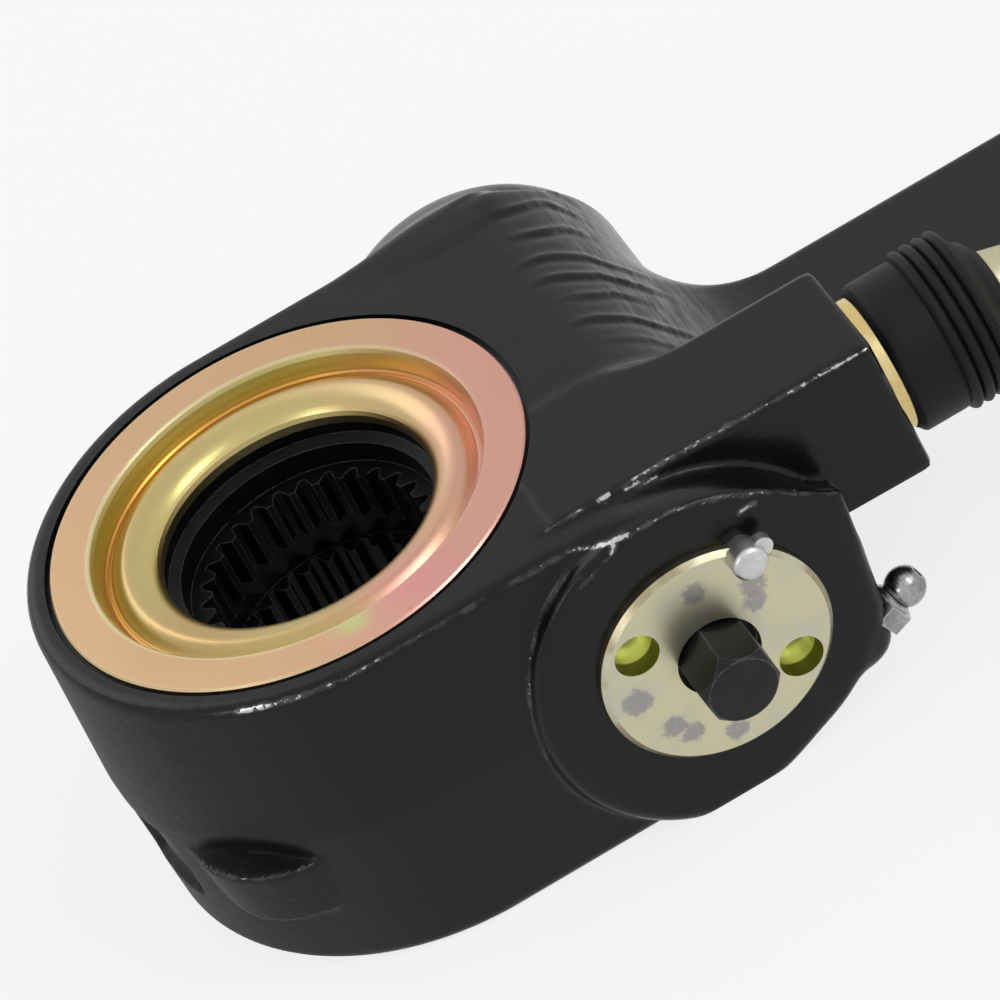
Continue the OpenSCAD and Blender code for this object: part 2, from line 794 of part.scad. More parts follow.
module retainer_seal() {
    seal_y = retainer_back + 0.9;
    color([0.1, 0.1, 0.1]) on_worm_axis()
        tube(retainer_r, retainer_r - 1.6 + seat, -seal_y - 1.8 + seat, -seal_y - seat);
}

module lock_pin() {
    head_round = 0.9;
    stub_r = 1.6;
    stub_h = 1.6;
    color([0.75, 0.75, 0.76]) on_lock_axis() {
        rod(lock_r, -lock_depth + seat, retainer_proud + 0.5);
        rotate_extrude() polygon(concat(
            [[0, retainer_proud + seat], [lock_head_r, retainer_proud + seat]],
            arc(lock_head_r - head_round, lock_proud - head_round, head_round, 0, 90, 5),
            [[0, lock_proud]]
        ));
        translate([2.7, 0.9, retainer_proud + seat]) cylinder(r = stub_r, h = stub_h);
    }
}

module grease_fitting() {
    hex_r = fitting_flats / 2 / cos(30);
    neck_r = 2.3;
    hex_h = 3.2;
    head_z = fitting_length - fitting_head_r;
    head_top = 62;
    color([0.7, 0.7, 0.72]) on_fitting_axis() difference() {
        union() {
            rod(fitting_thread_r, fitting_foot, 0.5);
            translate([0, 0, 0.2]) cylinder(r = hex_r, h = hex_h, $fn = 6);
            rotate_extrude() polygon(concat(
                [[0, 1], [neck_r + 0.7, 1], [neck_r + 0.7, hex_h + 0.6]],
                [[neck_r, hex_h + 1.2], [neck_r, hex_h + 2]],
                arc(0, head_z, fitting_head_r, -35, head_top, 10),
                [[0, head_z + fitting_head_r * sin(head_top)]]
            ));
        }
        rod(ball_r + free, fitting_foot - 1, ball_seat);
        rod(ball_mouth_r, 0, fitting_length + 1);
    }
}

module fitting_ball() {
    color([0.8, 0.8, 0.82]) on_fitting_axis() translate([0, 0, ball_z]) sphere(r = ball_r);
}

module fitting_spring() {
    wire = 0.45;
    color([0.6, 0.6, 0.62]) on_fitting_axis()
        tube(ball_r, ball_r - wire, fitting_foot + gap, ball_z - ball_r - ball_travel - gap);
}

module boot_sleeve() {
    color([0.75, 0.62, 0.32]) on_rack_axis() rotate_extrude() polygon([
        [sleeve_bore_r, sleeve_start],
        [sleeve_r, sleeve_start],
        [sleeve_r, rack_boss_end],
        [sleeve_collar_r, rack_boss_end],
        [sleeve_collar_r, boot_start - 0.4],
        [sleeve_neck_r, boot_start - 0.4],
        [sleeve_neck_r, sleeve_end],
        [sleeve_mouth_r, sleeve_end],
        [sleeve_mouth_r, rack_boss_end + 2],
        [sleeve_bore_r, rack_boss_end + 1]
    ]);
}

module boot() {
    seat_r = sleeve_neck_r + seat;
    rib_steps = 8;
    lip = 0.8;
    ribs = [for (i = [0 : boot_ribs - 1], j = [0 : rib_steps - 1]) [
        boot_rib_r - 0.8 + 0.8 * pow(sin(180 * j / rib_steps), 0.7),
        rib_start + rib_pitch * (i + j / rib_steps)
    ]];
    color([0.08, 0.08, 0.08]) on_rack_axis() rotate_extrude() polygon(concat(
        [[seat_r, boot_start], [boot_collar_r - 0.3, boot_start], [boot_collar_r, boot_start + 0.3]],
        [[boot_collar_r, rib_start]],
        ribs,
        [[boot_rib_r - 0.8, rib_end], [boot_mouth_r + 2.5, rib_end + 1], [boot_mouth_r + 2.1, rib_end + 1.7]],
        [[boot_mouth_r, boot_end]],
        [[rod_r + 0.1, boot_end], [rod_r + 0.1, boot_end - 2], [boot_collar_r - boot_wall, rib_end]],
        [[boot_collar_r - boot_wall, sleeve_end + lip], [seat_r, sleeve_end + lip - 0.1]]
    ));
}

// Space between two teeth of the rack, centred on x
module rack_space(x) {
    slope = tan(pressure_angle);
    half = rack_pitch / 4 + rack_play;
    below = rack_tip - 1;
    root_half = half - (rack_root - pinion_pitch_r) * slope;
    below_half = half + (pinion_pitch_r - below) * slope;
    translate([x, 0, 0]) rotate([90, 0, 0]) linear_extrude(2 * rack_y) polygon([
        [-root_half, rack_root],
        [root_half, rack_root],
        [below_half, below],
        [-below_half, below]
    ]);
}

module rack_plunger() {
    tooth_count = 6;
    toothed_end = worm_x + 3.6 * rack_pitch;
    color([0.6, 0.6, 0.62]) difference() {
        on_rack_axis() rod(plunger_r, rack_start, plunger_end);
        translate([rack_start - 1, -2 * rack_y, rack_tip - 4])
            cube([toothed_end - rack_start + 1, 2 * rack_y, 4]);
        for (i = [0 : tooth_count]) rack_space(worm_x + (i - 3) * rack_pitch);
        translate([slot_start, -2 * rack_y, rack_z - slot_t / 2]) cube([plunger_end, 2 * rack_y, slot_t]);
        translate([link_pin_x, -rack_y, rack_z]) rod(link_pin_r + seat, -2 * plunger_r, 2 * plunger_r);
    }
}

module link_pin() {
    half = plunger_r - 0.5;
    color([0.7, 0.7, 0.72]) translate([link_pin_x, -rack_y, rack_z]) rod(link_pin_r, -half, half);
}

module link_rod() {
    tongue_end = plunger_end + 3;
    neck_end = rib_start + 2;
    full_start = rib_end - 1;
    full_end = boot_end + 0.3;
    shank_r = rod_r - 2;
    shank_start = full_end + 8;
    flat_w = 2.5 * link_eye_r;
    color([0.75, 0.7, 0.5]) difference() {
        union() {
            translate([link_pin_x, -rack_y, rack_z]) rod(tongue_r, -tongue_t / 2, tongue_t / 2);
            translate([link_pin_x, -rack_y - rod_neck_r + 0.1, rack_z - tongue_t / 2])
                cube([tongue_end - link_pin_x, 2 * rod_neck_r - 0.2, tongue_t]);
            on_rack_axis() rotate_extrude() polygon([
                [0, tongue_end - 1],
                [rod_neck_r, tongue_end - 1],
                [rod_neck_r, neck_end],
                [rod_r, full_start],
                [rod_r, full_end],
                [shank_r, shank_start],
                [shank_r, link_eye_x - 2],
                [0, link_eye_x - 2]
            ]);
            translate([link_eye_x, -rack_y, rack_z]) rod(link_eye_r, -link_eye_t / 2, link_eye_t / 2);
        }
        translate([link_pin_x, -rack_y, rack_z]) rod(link_pin_r + running, -plunger_r, plunger_r);
        translate([link_eye_x, -rack_y, rack_z]) rod(link_bore_r, -link_eye_t, link_eye_t);
        for (side = [-1, 1]) translate([link_eye_x, -rack_y, rack_z + side * (link_eye_t + flat_w) / 2])
            cube([3 * link_eye_r, flat_w, flat_w], center = true);
    }
}

housing();
arm_bush();
cover_plate();
front_seal();
rear_seal();
worm_wheel();
worm_shaft();
worm();
clutch_drum();
drum_pin();
clutch_spacer();
pinion();
clutch_spring();
retainer_washer();
worm_washer();
disc_springs();
worm_bush();
bearing_retainer();
shaft_seal();
retainer_seal();
lock_pin();
grease_fitting();
fitting_ball();
fitting_spring();
boot_sleeve();
boot();
rack_plunger();
link_pin();
link_rod();
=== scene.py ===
import math
import bmesh
import bpy
import numpy as np
import openvdb
from mathutils import Matrix, Quaternion, Vector


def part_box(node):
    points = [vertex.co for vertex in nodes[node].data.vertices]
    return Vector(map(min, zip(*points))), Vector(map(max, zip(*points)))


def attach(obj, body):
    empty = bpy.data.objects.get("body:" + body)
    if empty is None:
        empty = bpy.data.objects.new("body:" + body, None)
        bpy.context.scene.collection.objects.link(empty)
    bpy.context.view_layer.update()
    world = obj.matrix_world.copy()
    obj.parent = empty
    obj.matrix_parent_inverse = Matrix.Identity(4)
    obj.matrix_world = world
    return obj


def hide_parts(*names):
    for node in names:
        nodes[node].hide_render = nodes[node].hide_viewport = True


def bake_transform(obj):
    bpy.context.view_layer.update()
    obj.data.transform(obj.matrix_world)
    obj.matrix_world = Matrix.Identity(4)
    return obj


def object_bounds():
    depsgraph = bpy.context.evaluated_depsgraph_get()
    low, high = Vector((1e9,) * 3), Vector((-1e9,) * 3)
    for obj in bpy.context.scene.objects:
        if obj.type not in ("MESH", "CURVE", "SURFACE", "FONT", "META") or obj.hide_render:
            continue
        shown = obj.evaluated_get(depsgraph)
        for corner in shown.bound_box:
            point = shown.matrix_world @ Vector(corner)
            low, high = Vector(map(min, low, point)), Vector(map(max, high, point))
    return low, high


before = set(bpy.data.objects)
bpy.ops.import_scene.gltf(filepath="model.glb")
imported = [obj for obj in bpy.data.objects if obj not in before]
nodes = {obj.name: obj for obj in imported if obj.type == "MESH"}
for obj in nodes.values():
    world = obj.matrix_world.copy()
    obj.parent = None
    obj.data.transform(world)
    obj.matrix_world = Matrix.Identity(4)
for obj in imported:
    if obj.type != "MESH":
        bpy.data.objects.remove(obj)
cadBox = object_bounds()
mm = 0.001
print("frame loaded with", len(nodes), "nodes")

# camera at the photograph's angle
camera = {
    "lens": 196.2,  # mm on a 36 mm sensor
    "place": (-20.08, -633.50, 524.62),  # mm
    "look": (0.0590, 0.7731, -0.6316),
    "roll": -27.475,  # degrees about the line of sight
}
cameraData = bpy.data.cameras.new("photoCamera")
cameraData.sensor_width = 36
cameraData.lens = camera["lens"]
cameraData.clip_start, cameraData.clip_end = 0.01, 20
photoCamera = bpy.data.objects.new("photoCamera", cameraData)
bpy.context.scene.collection.objects.link(photoCamera)
photoCamera.rotation_mode = "QUATERNION"
upright = Vector(camera["look"]).to_track_quat("-Z", "Y")
photoCamera.rotation_quaternion = upright @ Quaternion((0, 0, 1), math.radians(camera["roll"]))
photoCamera.location = Vector(camera["place"]) * mm
bpy.context.scene.camera = photoCamera
print("camera placed")


def addObject(name, mesh):
    piece = bpy.data.objects.new(name, mesh)
    bpy.context.scene.collection.objects.link(piece)
    return piece


# forged body: distances from simple forms, in mm, joined with fillets; a pair is where a change starts and ends
body = {
    "step": 0.6,  # grid spacing
    "tiny": 0.01,
    "barrelR": 42.1, "halfHeight": 28.0, "draft": 1.2, "edge": 1.7,
    "wormX": 42.5, "flankX": 67.2, "flankRound": 22.0,  # block between barrel and worm boss
    "farR": 25.2, "farEnd": 55.6, "farRound": 9.0, "farJoin": 9.0, "farJoinY": (28, 40), "farJoinX": (48, 62),
    "bossX": 42.35, "bossZ": 0.4, "nearR": 27.55, "nearFace": 45.6, "nearBack": 22.0, "bossJoin": 1.4,
    "bossRound": 2.3, "crestRound": 0.8, "roundZ": (10, 22),
    "footFlare": 4.2, "flareGrows": (-115, -22), "flareEnds": (-22, 24),  # it spreads toward its lower left
    "topTrim": 1.15, "trimGrows": (70, 100), "trimEnds": (-180, -150),  # and is smaller over the top
    "topDip": 0.5, "dipY": (37.5, 43),  # most at its back
    "underBoss": 1.5, "underX": (34, 48), "underZ": (2, 8),  # the block stays under it there
    "crestStep": 0.45, "crestY": (36.3, 37.1), "crestX": (25, 33), "crestSoft": 0.8,  # step beside the rack boss
    "padTop": 13.6, "padLow": -20.5, "padX": 69.2, "padLean": 3.0, "padSlope": 0.745, "padFall": 0.5, "padCorner": 6.0,
    "padStart": 58.5, "padIn": 0.4, "padBack": 28.0, "padRounds": (1.0, 2.4), "padRoundZ": (-6, 8), "padJoin": 0.9,
    "armHalf": 10.0, "armStart": 54.5, "armEnd": 139.7, "armNear": 12.2, "armFar": 12.8, "armRound": 0.9, "armJoin": 16,
    "waistX": 92.0, "waistY": -12.8, "eyeR": 16.0, "eyeHalf": 10.0, "eyeRound": 1.2, "eyeJoin": 4,
    "rackStart": 30.35, "rackX": 83.0, "rackLean": 0.052, "rackNear": 36.7, "rackTaper": 0.019, "taperX": 29.0,
    "rackFar": 15.2, "rackBottom": 2.0, "rackRound": 0.7, "rackCorner": 1.6,
    "rackJoins": (0.8, 5.8), "rackJoinY": (-26, -18),
    "skinR": 43.0, "lugTurn": -136.0, "lugReach": 30.1, "lugTopR": 16.5, "lugLowR": 15.0,
    "lugTop": -4.0, "lugLow": -15.4,
    "lugSoft": 0.5, "pocketDeep": 1.6, "pocketHalf": (11.0, 5.5), "pocketEdge": (0.2, 1.15),
    "markTurn": -170.0, "markZ": -11.0, "markHalfU": 8.5, "markHalfZ": 7.5,  # bare recess beside the lug
    "markCorner": 2.0,
    "markDeep": 1.5, "markWall": (0, 0.9), "markRise": 0.45, "markInner": (2.2, 3.2),
    "ripples": (  # place along Y, height, start and end round the worm boss in degrees
        (43.9, 0.26, 6, 44), (36.4, 0.34, 14, 42), (28.9, 0.38, 16, 38), (20.5, 0.30, 12, 48),
        (14.9, 0.36, 14, 50), (9.2, 0.26, 18, 42), (1.9, 0.32, 15, 52), (-4.4, 0.16, 22, 50),
    ),
    "rippleWide": 1.0, "rippleStart": (-4, 10), "rippleStop": (-8, 8), "trough": 0.6, "troughAway": 1.5,
    "swayFrom": 34, "swayLean": 0.35, "swayWave": 0.7, "swayLength": 6,
}


def rounded(a, b, r):
    # meet of two distances with the edge rounded
    a, b = a + r, b + r
    return np.minimum(np.maximum(a, b), 0) + np.hypot(np.maximum(a, 0), np.maximum(b, 0)) - r


def joined(a, b, k):
    # union with a fillet about k wide
    h = np.maximum(k - np.abs(a - b), 0) / np.maximum(k, 1e-6)
    return np.minimum(a, b) - h * h * k / 4


def cutBack(a, b, k):
    # meet with a rounded edge about k wide
    return -joined(-a, -b, k)


def ramp(v, low, high):
    t = np.clip((v - low) / (high - low), 0, 1)
    return t * t * (3 - 2 * t)


def withNearBoss(d, crest, x, y, z):
    s = body
    lean = math.radians(s["padLean"])
    padSide = (x - s["padX"] + (s["padTop"] - z) * math.tan(lean)) * math.cos(lean)
    down = np.degrees(np.arctan2(x - s["wormX"], -z))  # 0 straight down, more toward the arm
    flare = s["footFlare"] * ramp(down, *s["flareGrows"]) * (1 - ramp(down, *s["flareEnds"]))
    trim = s["topTrim"] + s["topDip"] * (1 - ramp(-y, *s["dipY"]))
    trim = trim * (ramp(down, *s["trimGrows"]) + (1 - ramp(down, *s["trimEnds"])))
    boss = np.maximum(np.hypot(x - s["bossX"], z - s["bossZ"]) - s["nearR"] - flare + trim, padSide)
    share = ramp(x, *s["underX"]) * ramp(z, *s["underZ"])
    over = (1 - share) * (z - crest) + share * (boss + s["underBoss"])
    d = np.maximum(d, np.minimum(over, -y - s["rackNear"]))
    soft = s["bossRound"] + (s["crestRound"] - s["bossRound"]) * ramp(z, *s["roundZ"])
    d = joined(d, rounded(boss, np.maximum(-y - s["nearFace"], y + s["nearBack"]), soft), s["bossJoin"])
    padHigh = z - s["padTop"] + s["padSlope"] * (x - s["padX"]) + s["padFall"] * (y + s["nearFace"])
    padHigh = padHigh / math.sqrt(1 + s["padSlope"] ** 2 + s["padFall"] ** 2)
    padPlan = np.maximum(cutBack(padSide, s["padLow"] - z, s["padCorner"]), padHigh)
    padDepth = np.maximum(-y - s["nearFace"] + s["padIn"], y + s["padBack"])
    least, most = s["padRounds"]
    pad = rounded(padPlan, padDepth, least + (most - least) * ramp(-z, *s["padRoundZ"]))
    return joined(d, np.maximum(pad, s["padStart"] - x), s["padJoin"])


def withArm(d, x, y, z):
    s = body
    nearSlope = (-s["armNear"] - s["waistY"]) / (s["armEnd"] - s["waistX"])
    nearEdge = (s["waistY"] - y + (x - s["waistX"]) * nearSlope) / math.hypot(1, nearSlope)
    plan = np.maximum(np.maximum(y - s["armFar"], nearEdge), np.maximum(x - s["armEnd"], s["armStart"] - x))
    d = joined(d, rounded(plan, np.abs(z) - s["armHalf"], s["armRound"]), s["armJoin"])
    eye = rounded(np.hypot(x - s["armEnd"], y) - s["eyeR"], np.abs(z) - s["eyeHalf"], s["eyeRound"])
    return joined(d, eye, s["eyeJoin"])


def withRackBoss(d, x, y, z):
    s = body
    half = s["halfHeight"]
    sides = np.maximum(-y - s["rackNear"] - s["rackTaper"] * (x - s["taperX"]), y + s["rackFar"])
    ends = np.maximum(x - s["rackX"] - s["rackLean"] * (half - z), s["rackStart"] - x)
    plan = cutBack(sides, ends, s["rackCorner"])
    rack = rounded(plan, np.maximum(z - half, s["rackBottom"] - z), s["rackRound"])
    near, far = s["rackJoins"]
    return joined(d, rack, near + (far - near) * ramp(y, *s["rackJoinY"]))


def withLug(d, x, y, z):
    s = body
    turn = math.radians(s["lugTurn"])
    away = np.hypot(x - s["lugReach"] * math.cos(turn), y - s["lugReach"] * math.sin(turn))
    share = (z - s["lugLow"]) / (s["lugTop"] - s["lugLow"])
    side = away - s["lugLowR"] - (s["lugTopR"] - s["lugLowR"]) * share
    place = np.degrees(np.arctan2(y, x))  # round the barrel
    halfU, halfZ = s["pocketHalf"]
    pocket = np.hypot(s["skinR"] * np.radians(place - s["lugTurn"]) / halfU, np.maximum(z - s["lugTop"], 0) / halfZ)
    d = d + s["pocketDeep"] * (1 - ramp(pocket, *s["pocketEdge"])) * (z > s["lugTop"]) * (x < 0)
    d = joined(d, cutBack(side, np.maximum(z - s["lugTop"], s["lugLow"] - z), s["lugSoft"]), s["lugSoft"])
    corner = s["markCorner"]
    u = np.abs(s["skinR"] * np.radians((place - s["markTurn"] + 180) % 360 - 180)) - s["markHalfU"] + corner
    w = np.abs(z - s["markZ"]) - s["markHalfZ"] + corner
    inside = corner - np.hypot(np.maximum(u, 0), np.maximum(w, 0))
    recess = ramp(inside, *s["markWall"]) - s["markRise"] * ramp(inside, *s["markInner"])
    return d + s["markDeep"] * recess * (x < 0)


def withRipples(d, x, y, z):
    s = body
    around = np.degrees(np.arctan2(x - s["wormX"], z))
    for place, height, begin, end in s["ripples"]:
        shown = ramp(around, *(begin + v for v in s["rippleStart"]))
        shown = shown * (1 - ramp(around, *(end + v for v in s["rippleStop"]))) * (z > 0)
        sway = np.maximum(around - s["swayFrom"], 0) * s["swayLean"]
        sway = sway + s["swayWave"] * np.sin(around / s["swayLength"] + place)
        away = (y - place + sway) / s["rippleWide"]
        d = d - height * (np.exp(-2 * away ** 2) - s["trough"] * np.exp(-(away + s["troughAway"]) ** 2)) * shown
    return d


def forgedDistance(x, y, z):
    s = body
    half = s["halfHeight"]
    slab = np.abs(z) - half
    swell = s["draft"] * (1 - np.minimum(np.abs(z) / half, 1))
    barrel = rounded(np.hypot(x, y) - s["barrelR"] - swell, slab, s["edge"])
    profile = rounded(x - s["flankX"], slab, s["flankRound"])
    block = rounded(np.maximum(profile, -x), np.abs(y) - s["barrelR"] - swell, s["edge"])
    far = rounded(np.hypot(x - s["wormX"], z) - s["farR"], y - s["farEnd"], s["farRound"])
    width = s["farJoin"] * ramp(y, *s["farJoinY"]) * (1 - ramp(x, *s["farJoinX"])) + s["tiny"]
    d = joined(np.minimum(barrel, block), np.maximum(far, -y), width)
    crest = half - s["crestStep"] * ramp(-y, *s["crestY"]) * ramp(x, *s["crestX"])
    d = cutBack(withNearBoss(d, crest, x, y, z), z - crest, s["crestSoft"])
    for form in (withArm, withRackBoss, withLug, withRipples):
        d = form(d, x, y, z)
    return np.maximum(d, slab)


def growForging():
    low = (Vector(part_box("housing")[0]) / mm) - Vector((2, 2, 2))
    high = (Vector(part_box("housing")[1]) / mm) + Vector((2, 2, 2))
    axes = [np.arange(low[i], high[i], body["step"], dtype=np.float32) for i in range(3)]
    x, y, z = np.meshgrid(*axes, indexing="ij", sparse=True)
    distance = np.ascontiguousarray(forgedDistance(x, y, z), dtype=np.float32)
    grid = openvdb.FloatGrid(10.0)
    grid.copyFromArray(np.clip(distance, -3, 3))
    points, quads = grid.convertToQuads(0.0)
    points = (points * body["step"] + np.array(low)) * mm
    mesh = bpy.data.meshes.new("forgedBody")
    mesh.from_pydata(points.tolist(), [], quads[:, ::-1].tolist())
    mesh.validate()
    return mesh


forgedBody = addObject("forgedBody", growForging())
print("forging grown,", len(forgedBody.data.polygons), "faces")

# machined recesses, cut clean after the forging: (start, end, radius) in mm
recesses = {
    "coverSeat": ((0, 0, 26.6), (0, 0, 40), 38.8),
    "coverWell": ((0, 0, 21.8), (0, 0, 40), 33.9),
    "wheelSeat": ((0, 0, -12.8), (0, 0, 22), 32.56),
    "wheelJournal": ((0, 0, -24.4), (0, 0, -12), 29.06),
    "rearOpening": ((0, 0, -40), (0, 0, -24), 22.9),
    "wormCavity": ((42.5, -41.7, 0), (42.5, 19.9, 0), 15.6),
    "wormBush": ((42.5, 19, 0), (42.5, 37.9, 0), 8.09),
    "retainerSeat": ((42.5, -60, 0), (42.5, -39.7, 0), 18.23),
    "rackBore": ((29, -26.15, 14.85), (90, -26.15, 14.85), 7.56),
    "sleeveBore": ((65.2, -26.15, 14.85), (95, -26.15, 14.85), 9.19),
    "clevisBore": ((139.7, 0, -30), (139.7, 0, 30), 9.03),
    "lockHole": ((52.1, -42.7, 14.39), (52.1, -60, 14.39), 2.33),
    "fittingHole": ((61.08, -41, -17.14), (67.52, -41, -14.41), 2.93),
    "fittingSeat": ((66.6, -41, -14.8), (75.25, -41, -11.13), 4.46),
}


def cutter(name, start, end, radius):
    start, end = Vector(start) * mm, Vector(end) * mm
    form = bmesh.new()
    size = {"radius1": radius * mm, "radius2": radius * mm, "depth": (end - start).length}
    bmesh.ops.create_cone(form, cap_ends=True, segments=160, **size)
    turn = (end - start).to_track_quat("Z", "Y").to_matrix().to_4x4()
    bmesh.ops.transform(form, matrix=Matrix.Translation((start + end) / 2) @ turn, verts=form.verts)
    mesh = bpy.data.meshes.new(name)
    form.to_mesh(mesh)
    form.free()
    return addObject(name, mesh)


cutters = [cutter(name, *place) for name, place in recesses.items()]
for tool in cutters:
    cut = forgedBody.modifiers.new(tool.name, "BOOLEAN")
    cut.operation = "DIFFERENCE"
    cut.solver = "MANIFOLD"
    cut.object = tool
depsgraph = bpy.context.evaluated_depsgraph_get()
machined = bpy.data.meshes.new_from_object(forgedBody.evaluated_get(depsgraph))
forgedBody.modifiers.clear()
forgedBody.data = machined
for tool in cutters:
    bpy.data.objects.remove(tool)
machined.shade_smooth()
machined.set_sharp_from_angle(angle=math.radians(42))
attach(forgedBody, "housing")
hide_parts("housing")
print("recesses cut,", len(machined.polygons), "faces")


# rubber boot: one profile turned about the rack's axis, in two pieces, bellows and mouth
boot = {
    "axisY": -26.15, "axisZ": 14.85, "start": 85.1, "ribStart": 93.4, "pitch": 2.02, "ribs": 4, "end": 105.1,
    "collarR": 12.25, "ribR": 13.15, "valleyR": 12.1, "mouthR": 7.5, "seatR": 9.92, "rodR": 7.02, "wall": 1.4,
    "lapR": 10.86, "lapEnd": 85.55,  # lip over the sleeve's collar
    "sleeveEnd": 91.9, "around": 144, "ribSteps": 12,
}


def turned(name, profile):
    form = bmesh.new()
    rings = []
    for step in range(boot["around"]):
        turn = 2 * math.pi * step / boot["around"]
        c, n = math.cos(turn), math.sin(turn)
        ring = [(x, boot["axisY"] + r * c, boot["axisZ"] + r * n) for x, r in profile]
        rings.append([form.verts.new([value * mm for value in point]) for point in ring])
    for i, ring in enumerate(rings):
        after = rings[(i + 1) % len(rings)]
        for j in range(len(profile)):
            k = (j + 1) % len(profile)
            form.faces.new((ring[j], after[j], after[k], ring[k]))
    bmesh.ops.recalc_face_normals(form, faces=form.faces)
    mesh = bpy.data.meshes.new(name)
    form.to_mesh(mesh)
    form.free()
    mesh.shade_smooth()
    mesh.set_sharp_from_angle(angle=math.radians(50))
    return addObject(name, mesh)


def bellowsProfile():
    s = boot
    outer = [(s["start"], s["lapR"] + 0.1), (s["start"] + 0.1, s["lapR"] + 0.3), (s["start"] + 0.4, s["collarR"] - 0.8)]
    outer += [(s["start"] + 0.8, s["collarR"] - 0.25), (s["start"] + 1.2, s["collarR"]), (s["start"] + 3, s["collarR"])]
    outer += [(s["ribStart"] - 0.9, s["collarR"]), (s["ribStart"] - 0.3, s["collarR"] - 0.06)]
    for rib in range(s["ribs"]):
        for step in range(s["ribSteps"] + 1):
            share = step / s["ribSteps"]
            lift = math.sin(math.pi * share) ** 0.6
            outer.append((s["ribStart"] + (rib + share) * s["pitch"], s["valleyR"] + (s["ribR"] - s["valleyR"]) * lift))
    ribEnd = s["ribStart"] + s["ribs"] * s["pitch"]
    inner = [(ribEnd, s["valleyR"] - s["wall"]), (s["sleeveEnd"] + 0.6, s["valleyR"] - s["wall"])]
    inner += [(s["sleeveEnd"] + 0.2, s["seatR"]), (s["lapEnd"] + 0.05, s["seatR"])]
    inner += [(s["lapEnd"], s["lapR"]), (s["start"] + 0.05, s["lapR"])]
    return outer + inner


def mouthProfile():
    s = boot
    ribEnd = s["ribStart"] + s["ribs"] * s["pitch"]
    outer = [(ribEnd - 0.05, s["valleyR"] - 0.02), (ribEnd + 0.5, s["valleyR"] - 0.9)]
    outer += [(ribEnd + 1.1, s["mouthR"] + 2.75), (ribEnd + 1.4, s["mouthR"] + 2.45)]
    outer += [(ribEnd + 1.8, s["mouthR"] + 2.25), (ribEnd + 2.4, s["mouthR"] + 1.7)]
    outer += [(s["end"] - 0.4, s["mouthR"] + 0.4), (s["end"] - 0.1, s["mouthR"] + 0.05), (s["end"], s["mouthR"] - 0.2)]
    inner = [(s["end"], s["rodR"]), (s["end"] - 1.2, s["rodR"])]
    inner += [(s["end"] - 1.8, s["rodR"] + 1.2), (ribEnd - 0.05, s["valleyR"] - s["wall"])]
    return outer + inner


bootBellows = turned("bootBellows", bellowsProfile())
bootMouth = turned("bootMouth", mouthProfile())
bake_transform(bootBellows)
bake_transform(bootMouth)
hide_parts("boot")
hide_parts("boot")
print("boot turned")


# worn places on the forging, some lines also a painted highlight: start, end (mm) and how far bare metal reaches from
# the line, below 0 only in spots
wearAndHighlight = {
    "lines": [
        ((-25.0, -33.8, 27.0), (-21.8, -35.9, 27.0), -0.05),
        ((-21.8, -35.9, 27.0), (-17.4, -38.2, 27.0), 0.34),
        ((-17.4, -38.2, 27.0), (-13.0, -39.9, 27.0), 0.24),
        ((-13.0, -39.9, 27.0), (-6.0, -41.5, 27.0), 0.14),
        ((-6.0, -41.5, 27.0), (8.6, -42.0, 27.1), 0.06),
        ((8.6, -42.0, 27.1), (21.5, -42.1, 27.1), 0.1),
        ((21.5, -42.1, 27.1), (30.4, -42.6, 27.2), 0.18),
        ((30.4, -42.6, 27.2), (33.6, -43.7, 27.3), 0.2),
        ((33.6, -43.7, 27.3), (38.3, -45.1, 27.0), 0.48),
        ((36.2, -45.3, 27.0), (35.5, -45.3, 25.6), 0.36),
        ((35.3, -45.2, 25.4), (27.4, -45.0, 22.3), 0.02),
        ((38.3, -45.3, 27.0), (45.5, -45.3, 26.6), 0.16),
        ((45.5, -45.3, 26.6), (52.8, -45.3, 24.1), 0.15),
        ((52.8, -45.3, 24.1), (58.5, -45.3, 21.0), 0.14),
        ((58.5, -45.3, 21.0), (62.3, -45.3, 17.8), -0.02),
        ((62.3, -45.3, 17.8), (68.7, -45.2, 13.5), 0.0),
        ((60.4, -44.6, 19.6), (62.6, -44.4, 17.2), 0.1),
        ((65.9, -44.0, 14.6), (68.7, -43.4, 13.2), 0.08),
        ((29.3, -36.7, 28.0), (42.0, -36.7, 28.0), 0.04),
        ((38.0, -36.8, 28.0), (39.6, -36.8, 28.0), 0.42),
        ((33.8, -36.6, 28.0), (35.2, -36.6, 28.0), 0.26),
        ((42.1, -37.0, 27.4), (47.0, -37.7, 26.8), 0.24),
        ((43.6, -36.6, 28.0), (60.9, -36.9, 28.0), 0.24),
        ((60.9, -36.9, 28.0), (71.1, -37.6, 28.0), 0.1),
        ((71.1, -37.6, 28.0), (82.6, -37.8, 28.0), 0.18),
        ((83.0, -37.8, 26.5), (83.8, -37.9, 14.0), -0.05),
        ((54.3, -45.6, 20.2), (56.8, -45.6, 20.2), 0.28),
        # painted highlight: these lines along the near boss's outer crease lay its fillet's highlight into the paint as
        # rubbed grey
        ((29.0, -43.2, 24.2), (24.0, -43.3, 20.6), 0.1),
        ((24.0, -43.3, 20.6), (17.6, -43.3, 12.0), 0.06),
        ((17.6, -43.3, 12.0), (15.0, -43.2, 2.0), 0.04),
        ((15.0, -43.2, 2.0), (14.4, -43.2, -6.0), -0.06),
        ((14.4, -43.2, -6.0), (20.0, -43.2, -20.0), -0.2),
    ],
    "piece": 2.0,  # lines are laid on the surface in pieces this long
    "edge": -0.42, "flat": -1.92,  # reach on the forging's other outer edges and on flat ground
    "bendStep": 0.7, "bend": (0.25, 0.95),  # how sharp an outer edge is
    "lugReach": 0.05, "lugMiddle": (-21.6, -20.9),  # the lug's front edge
    "lugAround": 17.5, "lugPast": 42.6, "lugFlat": 0.8,
    "layStep": 0.2, "lays": 4, "search": 4.0, "least": -3.0,
}


